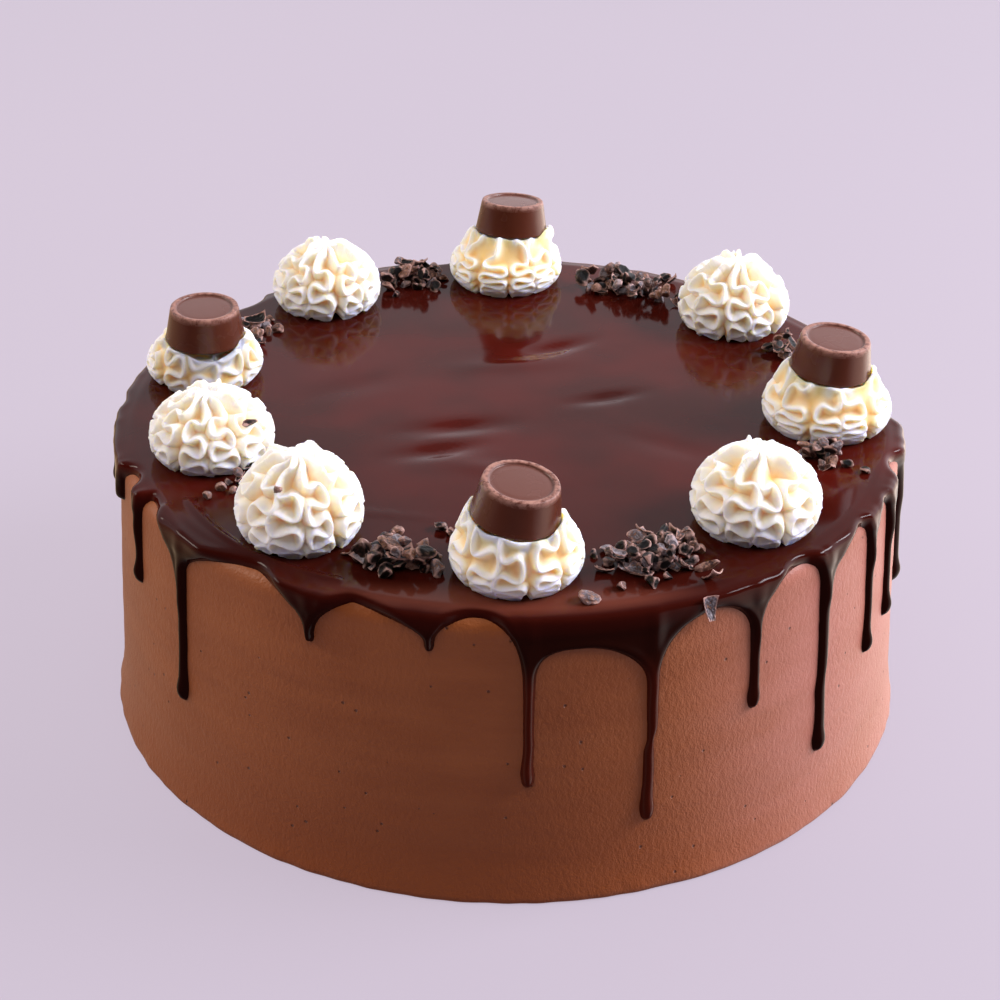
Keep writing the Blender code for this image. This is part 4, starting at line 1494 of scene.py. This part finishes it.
def light_room(settings):
    """A soft bright room behind the cake, dark towards the camera.

    Its lower half only shows in glossy surfaces, which don't see the floor. It is bright on the right,
    dimmer on the left, and has one more bright patch far behind on the right.
    """
    world = bpy.data.worlds.new("room")
    bpy.context.scene.world = world
    world.use_nodes = True
    nodes = Nodes(world.node_tree)
    way = nodes.add("ShaderNodeTexCoord", output="Generated")
    behind = way.along((0.0, 1.0, 0.0)).between(-0.35, 0.35)
    upward = way.along(UP)
    window = way.along((0.8, 0.6, 0.0)).between(0.7, 0.95)
    upper = (behind * (1.0 - 0.6 * upward.between(0.62, 0.72)) + 0.03) * settings.room_share
    upper = upper + window * settings.window
    right = way.along((0.95, 0.3, 0.0)).between(0.3, 0.8)
    left = way.along((-0.8, 0.6, 0.0)).between(0.1, 0.8)
    beyond = way.along((0.81, 0.59, 0.0)).between(0.84, 0.88)
    lower = (right + 0.28 * left) * settings.bounce + beyond * 0.41 + 0.01
    over = upward.between(-0.04, 0.02)
    light = lower + (upper - lower) * over
    colour = nodes.mix(settings.room, settings.warm, (left + 0.5 * right) * (1.0 - over))
    background = world.node_tree.nodes["Background"]
    nodes.feed(background.inputs["Color"], nodes.mix((0, 0, 0), colour, light))
    background.inputs["Strength"].default_value = settings.room_strength


# ---------------------------------------------------------------- add-on


def colour_property(name, description, default):
    return bpy.props.FloatVectorProperty(
        name=name, description=description, subtype="COLOR", size=3, min=0.0, max=1.0,
        default=linear(*default),
    )


def length_property(name, description, default):
    return bpy.props.FloatProperty(
        name=name, description=description, subtype="DISTANCE", unit="LENGTH", precision=5, default=default
    )


def plain_property(name, description, default):
    return bpy.props.FloatProperty(name=name, description=description, default=default)


def number_property(name, description, default):
    return bpy.props.FloatProperty(name=name, description=description, subtype="FACTOR", default=default)


class CakeIcing(bpy.types.PropertyGroup):
    """Unevenness and colours of the buttercream."""

    waves: length_property("Waves", "Height of the slow waves in the side", 0.22 * MM)
    bands: length_property("Bands", "Height of the scraper's level bands", 0.09 * MM)
    ragged_foot: length_property("Ragged foot", "Unevenness of the icing at its foot", 0.35 * MM)
    grain: length_property("Grain", "Depth of the fine grain", 0.3 * MM)
    colour: colour_property("Colour", "Buttercream", (148, 80, 36))
    # Painted sheen on the right side, where the strongest light falls.
    pink: colour_property("Pink", "Pinker buttercream round the right", (160, 97, 84))
    dark: colour_property("Dark", "Darker streaks", (131, 65, 24))
    # Painted bounce light and shade near the base.
    low: colour_property("Low", "Warmer and darker icing near the base", (132, 63, 19))
    # Painted shade inside the air holes.
    pit: colour_property("Pits", "Inside small air holes", (84, 44, 30))


class CakeGlaze(bpy.types.PropertyGroup):
    """Thickness and colours of the glaze. Thicknesses are in millimetres over the icing."""

    top: plain_property("Top", "Thickness on the top, mm", 1.85)
    skirt: plain_property("Skirt", "Thickness at the upper edge, mm", 1.15)
    run: plain_property("Runs", "Height of the runs down the side, mm", 1.5)
    bead: plain_property("Beads", "Height of the beads at the tips, mm", 2.2)
    keel: plain_property("Keels", "Swelling above each run, mm", 0.45)
    edge: plain_property("Edge", "Swelling along the upper edge, mm", 1.1)
    lip: plain_property("Lip", "Swelling along the lower edge, mm", 0.25)
    smoothing: bpy.props.IntProperty(name="Smoothing", description="Rounds of evening out", default=3)
    swell: length_property("Swell", "Height of the slow waves in the top", 0.10 * MM)
    gloss: number_property("Gloss", "Strength of the reflections, 0.5 for a full one", 0.09)
    roughness: number_property("Roughness", "Dullness of the glaze", 0.04)
    colour: colour_property("Colour", "Glaze", (68, 15, 9))
    # Darker patches, and also the painted shade towards the front of the top.
    dark: colour_property("Dark", "Darker patches", (50, 12, 7))
    # Painted shade down the side.
    low: colour_property("Low", "Glaze down the side", (34, 10, 6))
    # Less painted shade down the runs at the front.
    front: colour_property("Front", "Warmer glaze down the front", (64, 19, 10))
    # Painted reflection along the front of the upper edge.
    thin: colour_property("Thin", "Paler glaze along the front of the upper edge", (98, 48, 36))


class CakeCream(bpy.types.PropertyGroup):
    """Shape and colours of the piped cream."""

    columns: bpy.props.IntProperty(name="Columns", description="Points of the piping tip", default=11)
    folds: plain_property("Folds", "Folds down each point's ribbon", 3.5)
    opening: plain_property("Opening", "Below 1, upper folds are larger", 0.62)
    rim_width: length_property("Rim width", "Thickness of the ribbon's edge", 0.7 * MM)
    rim_softness: length_property("Rim softness", "Rounding of the ribbon's edge", 0.25 * MM)
    rim_height: length_property("Rim height", "How far the edge stands over the fold's side", 0.9 * MM)
    slope: plain_property("Slope", "Steepness of the folds' sides", 1.7)
    groove: length_property("Groove depth", "Depth between the folds", 4.6 * MM)
    tails: length_property("Tails", "Height of the tails round the peak", 2.2 * MM)
    droop: number_property("Droop", "How far the folds hang over, as a share of their depth", 0.36)
    looping: number_property("Looping", "How far the folds double back", 1.1)
    rim: colour_property("Rims", "Edges of the ribbon", (233, 229, 228))
    # Painted glow and shade: the faces and the grooves are yellower than the rims.
    face: colour_property("Faces", "Sides of the folds", (241, 231, 213))
    groove_colour: colour_property("Grooves", "Deep between the folds", (250, 202, 84))


class CakeCandy(bpy.types.PropertyGroup):
    """Colours of the candies."""

    colour: colour_property("Colour", "Milk chocolate", (76, 33, 19))
    # Colour over the top, paler than the side.
    pale: colour_property("Pale", "Duller top", (94, 55, 46))
    bloom: colour_property("Bloom", "Dusty rim", (172, 126, 112))


class CakeNibs(bpy.types.PropertyGroup):
    """Amount and colours of the cacao nibs."""

    amount: number_property("Amount", "Share of the nibs that are made", 1.0)
    dark: colour_property("Dark", "Darkest crumbs", (9, 6, 6))
    brown: colour_property("Brown", "Brown crumbs", (66, 36, 29))
    tan: colour_property("Tan", "Palest crumbs", (132, 92, 72))
    husk: colour_property("Husk", "Husk", (66, 57, 63))
    pale_husk: colour_property("Pale husk", "Palest husk", (140, 130, 136))
    # Painted highlight on the crumbs' sharp edges.
    edge: colour_property("Edges", "Broken edges", (192, 150, 140))


class CakeStage(bpy.types.PropertyGroup):
    """Floor and light."""

    floor: colour_property("Floor", "Floor", (82, 76, 83))
    floor_shade: colour_property("Floor shade", "Faint clouds on the floor", (79, 74, 81))
    glow: number_property("Glow", "The floor's own light, which evens out shadows", 6.35)
    room: colour_property("Room", "Light from the room", (250, 248, 255))
    warm: colour_property("Warm", "Light from below", (250, 215, 175))
    room_strength: number_property("Room strength", "Brightness of the room", 4.0)
    room_share: number_property("Wall", "Share of the room's brightness for the wall behind", 0.275)
    window: number_property("Window", "Share of it for the window on the right", 0.5)
    bounce: number_property("Bounce", "Share of it for the light from below that only shows in gloss", 0.58)
    key: number_property("Key", "Power of the light from the right", 7.6)
    glint: number_property("Glint", "Power of the narrow bright light that shows in glossy edges", 22.0)
    fill: number_property("Fill", "Power of the light from the left", 6.7)
    front: number_property("Front", "Power of the dim light from the front", 11.0)


def dress(obj, slot, *nodes):
    """Puts a finished piece on the cake, in place of these solids."""
    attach(obj, "root")
    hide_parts(*nodes)


class CAKE_OT_icing(bpy.types.Operator):
    """Spread the buttercream over the cake"""

    bl_idname = "cake.icing"
    bl_label = "Spread Icing"

    def execute(self, context):
        settings = context.scene.cake_icing
        obj = new_object("buttercream", make_icing(settings), icing_finish(settings))
        dress(obj, "buttercream", "cake")
        return {"FINISHED"}


class CAKE_OT_glaze(bpy.types.Operator):
    """Pour the glaze over the top and let it run down the side"""

    bl_idname = "cake.glaze"
    bl_label = "Pour Glaze"

    def execute(self, context):
        settings = context.scene.cake_glaze
        obj = new_object("chocolate_glaze", make_glaze(settings), glaze_finish(settings))
        dress(obj, "glaze", "glaze")
        return {"FINISHED"}


class CAKE_OT_cream(bpy.types.Operator):
    """Pipe the cream rosettes"""

    bl_idname = "cake.cream"
    bl_label = "Pipe Cream"

    def execute(self, context):
        settings = context.scene.cake_cream
        finish = cream_finish(settings)
        recipe = cream_recipe()
        candies = {candy.name: candy for candy in CANDIES}
        for number, rosette in enumerate(ROSETTES):
            candy = candies.get(rosette.name)
            rng = random.Random(CREAM_SEED + number)
            rims = new_object("rims", rim_mesh(rosette, candy, rng, settings))
            obj = new_object("piped_" + rosette.name, dome_mesh(rosette, candy))
            values = {
                "Rims": rims, "Rim Width": settings.rim_width, "Rim Softness": settings.rim_softness,
                "Rim Height": settings.rim_height, "Slope": settings.slope, "Droop": settings.droop,
                "Groove Depth": settings.groove * (PRESSED_DEPTH if candy else 1.0),
                "Warmth": PRESSED_GLOW if candy else 1.0, "Finish": finish,
            }
            recipe.apply(obj, values)
            for vert in obj.data.vertices:
                vert.co.z = max(vert.co.z, GLAZE_TOP - CREAM_SUNK)
            remove(rims)
            dress(obj, "cream", "rosette_" + rosette.name)
        return {"FINISHED"}


class CAKE_OT_candies(bpy.types.Operator):
    """Stand the candies in their rosettes"""

    bl_idname = "cake.candies"
    bl_label = "Place Candies"

    def execute(self, context):
        finish = candy_finish(context.scene.cake_candy)
        for number, candy in enumerate(CANDIES):
            obj = new_object("chocolate_" + candy.name, candy_mesh(candy, number * CANDY_SEEDS), finish)
            dress(obj, "candy", "candy_" + candy.name)
        return {"FINISHED"}


class CAKE_OT_nibs(bpy.types.Operator):
    """Scatter the cacao nibs"""

    bl_idname = "cake.nibs"
    bl_label = "Scatter Nibs"

    def execute(self, context):
        settings = context.scene.cake_nibs
        rng = random.Random(NIB_SEED)
        kinds = nib_kinds(rng)
        nibs = scatter_nibs(rng, settings)
        mesh = mesh_from("cacao_nibs", [nib.point for nib in nibs], [])
        put_attribute(mesh, "kind", [nib.kind for nib in nibs], "INT")
        put_attribute(mesh, "size", [nib.size for nib in nibs])
        put_attribute(mesh, "tone", [nib.tone for nib in nibs])
        put_attribute(mesh, "turn", [nib.turn for nib in nibs], "FLOAT_VECTOR")
        obj = new_object("cacao_nibs", mesh)
        nib_recipe().apply(obj, {"Kinds": kinds, "Finish": nib_finish(settings)})
        remove(*kinds.objects)
        bpy.data.collections.remove(kinds)
        dress(obj, "nib", "glaze")
        return {"FINISHED"}


class CAKE_OT_stage(bpy.types.Operator):
    """Set the floor, the light and the camera"""

    bl_idname = "cake.stage"
    bl_label = "Set Stage"

    def execute(self, context):
        settings = context.scene.cake_stage
        make_floor(settings)
        light_room(settings)
        for light in LIGHTS:
            add_light(light, getattr(settings, light.name))
        set_camera()
        context.scene.view_settings.view_transform = "Standard"
        return {"FINISHED"}


class CAKE_PT_panel(bpy.types.Panel):
    """The cake's pieces in the sidebar"""

    bl_label = "Chocolate Truffle Cake"
    bl_space_type = "VIEW_3D"
    bl_region_type = "UI"
    bl_category = "Cake"

    def draw(self, context):
        for name, _, operator in GROUPS:
            box = self.layout.box()
            box.operator(operator.bl_idname)
            settings = getattr(context.scene, name)
            for prop in settings.bl_rna.properties:
                if prop.identifier not in ("rna_type", "name"):
                    box.prop(settings, prop.identifier)


GROUPS = (
    ("cake_icing", CakeIcing, CAKE_OT_icing),
    ("cake_glaze", CakeGlaze, CAKE_OT_glaze),
    ("cake_cream", CakeCream, CAKE_OT_cream),
    ("cake_candy", CakeCandy, CAKE_OT_candies),
    ("cake_nibs", CakeNibs, CAKE_OT_nibs),
    ("cake_stage", CakeStage, CAKE_OT_stage),
)


def register():
    for name, group, operator in GROUPS:
        bpy.utils.register_class(group)
        bpy.utils.register_class(operator)
        setattr(bpy.types.Scene, name, bpy.props.PointerProperty(type=group))
    bpy.utils.register_class(CAKE_PT_panel)


def unregister():
    bpy.utils.unregister_class(CAKE_PT_panel)
    for name, group, operator in GROUPS:
        delattr(bpy.types.Scene, name)
        bpy.utils.unregister_class(operator)
        bpy.utils.unregister_class(group)


def main():
    register()
    bpy.ops.cake.icing()
    bpy.ops.cake.glaze()
    bpy.ops.cake.cream()
    bpy.ops.cake.candies()
    bpy.ops.cake.nibs()
    bpy.ops.cake.stage()


if __name__ == "__main__":
    main()
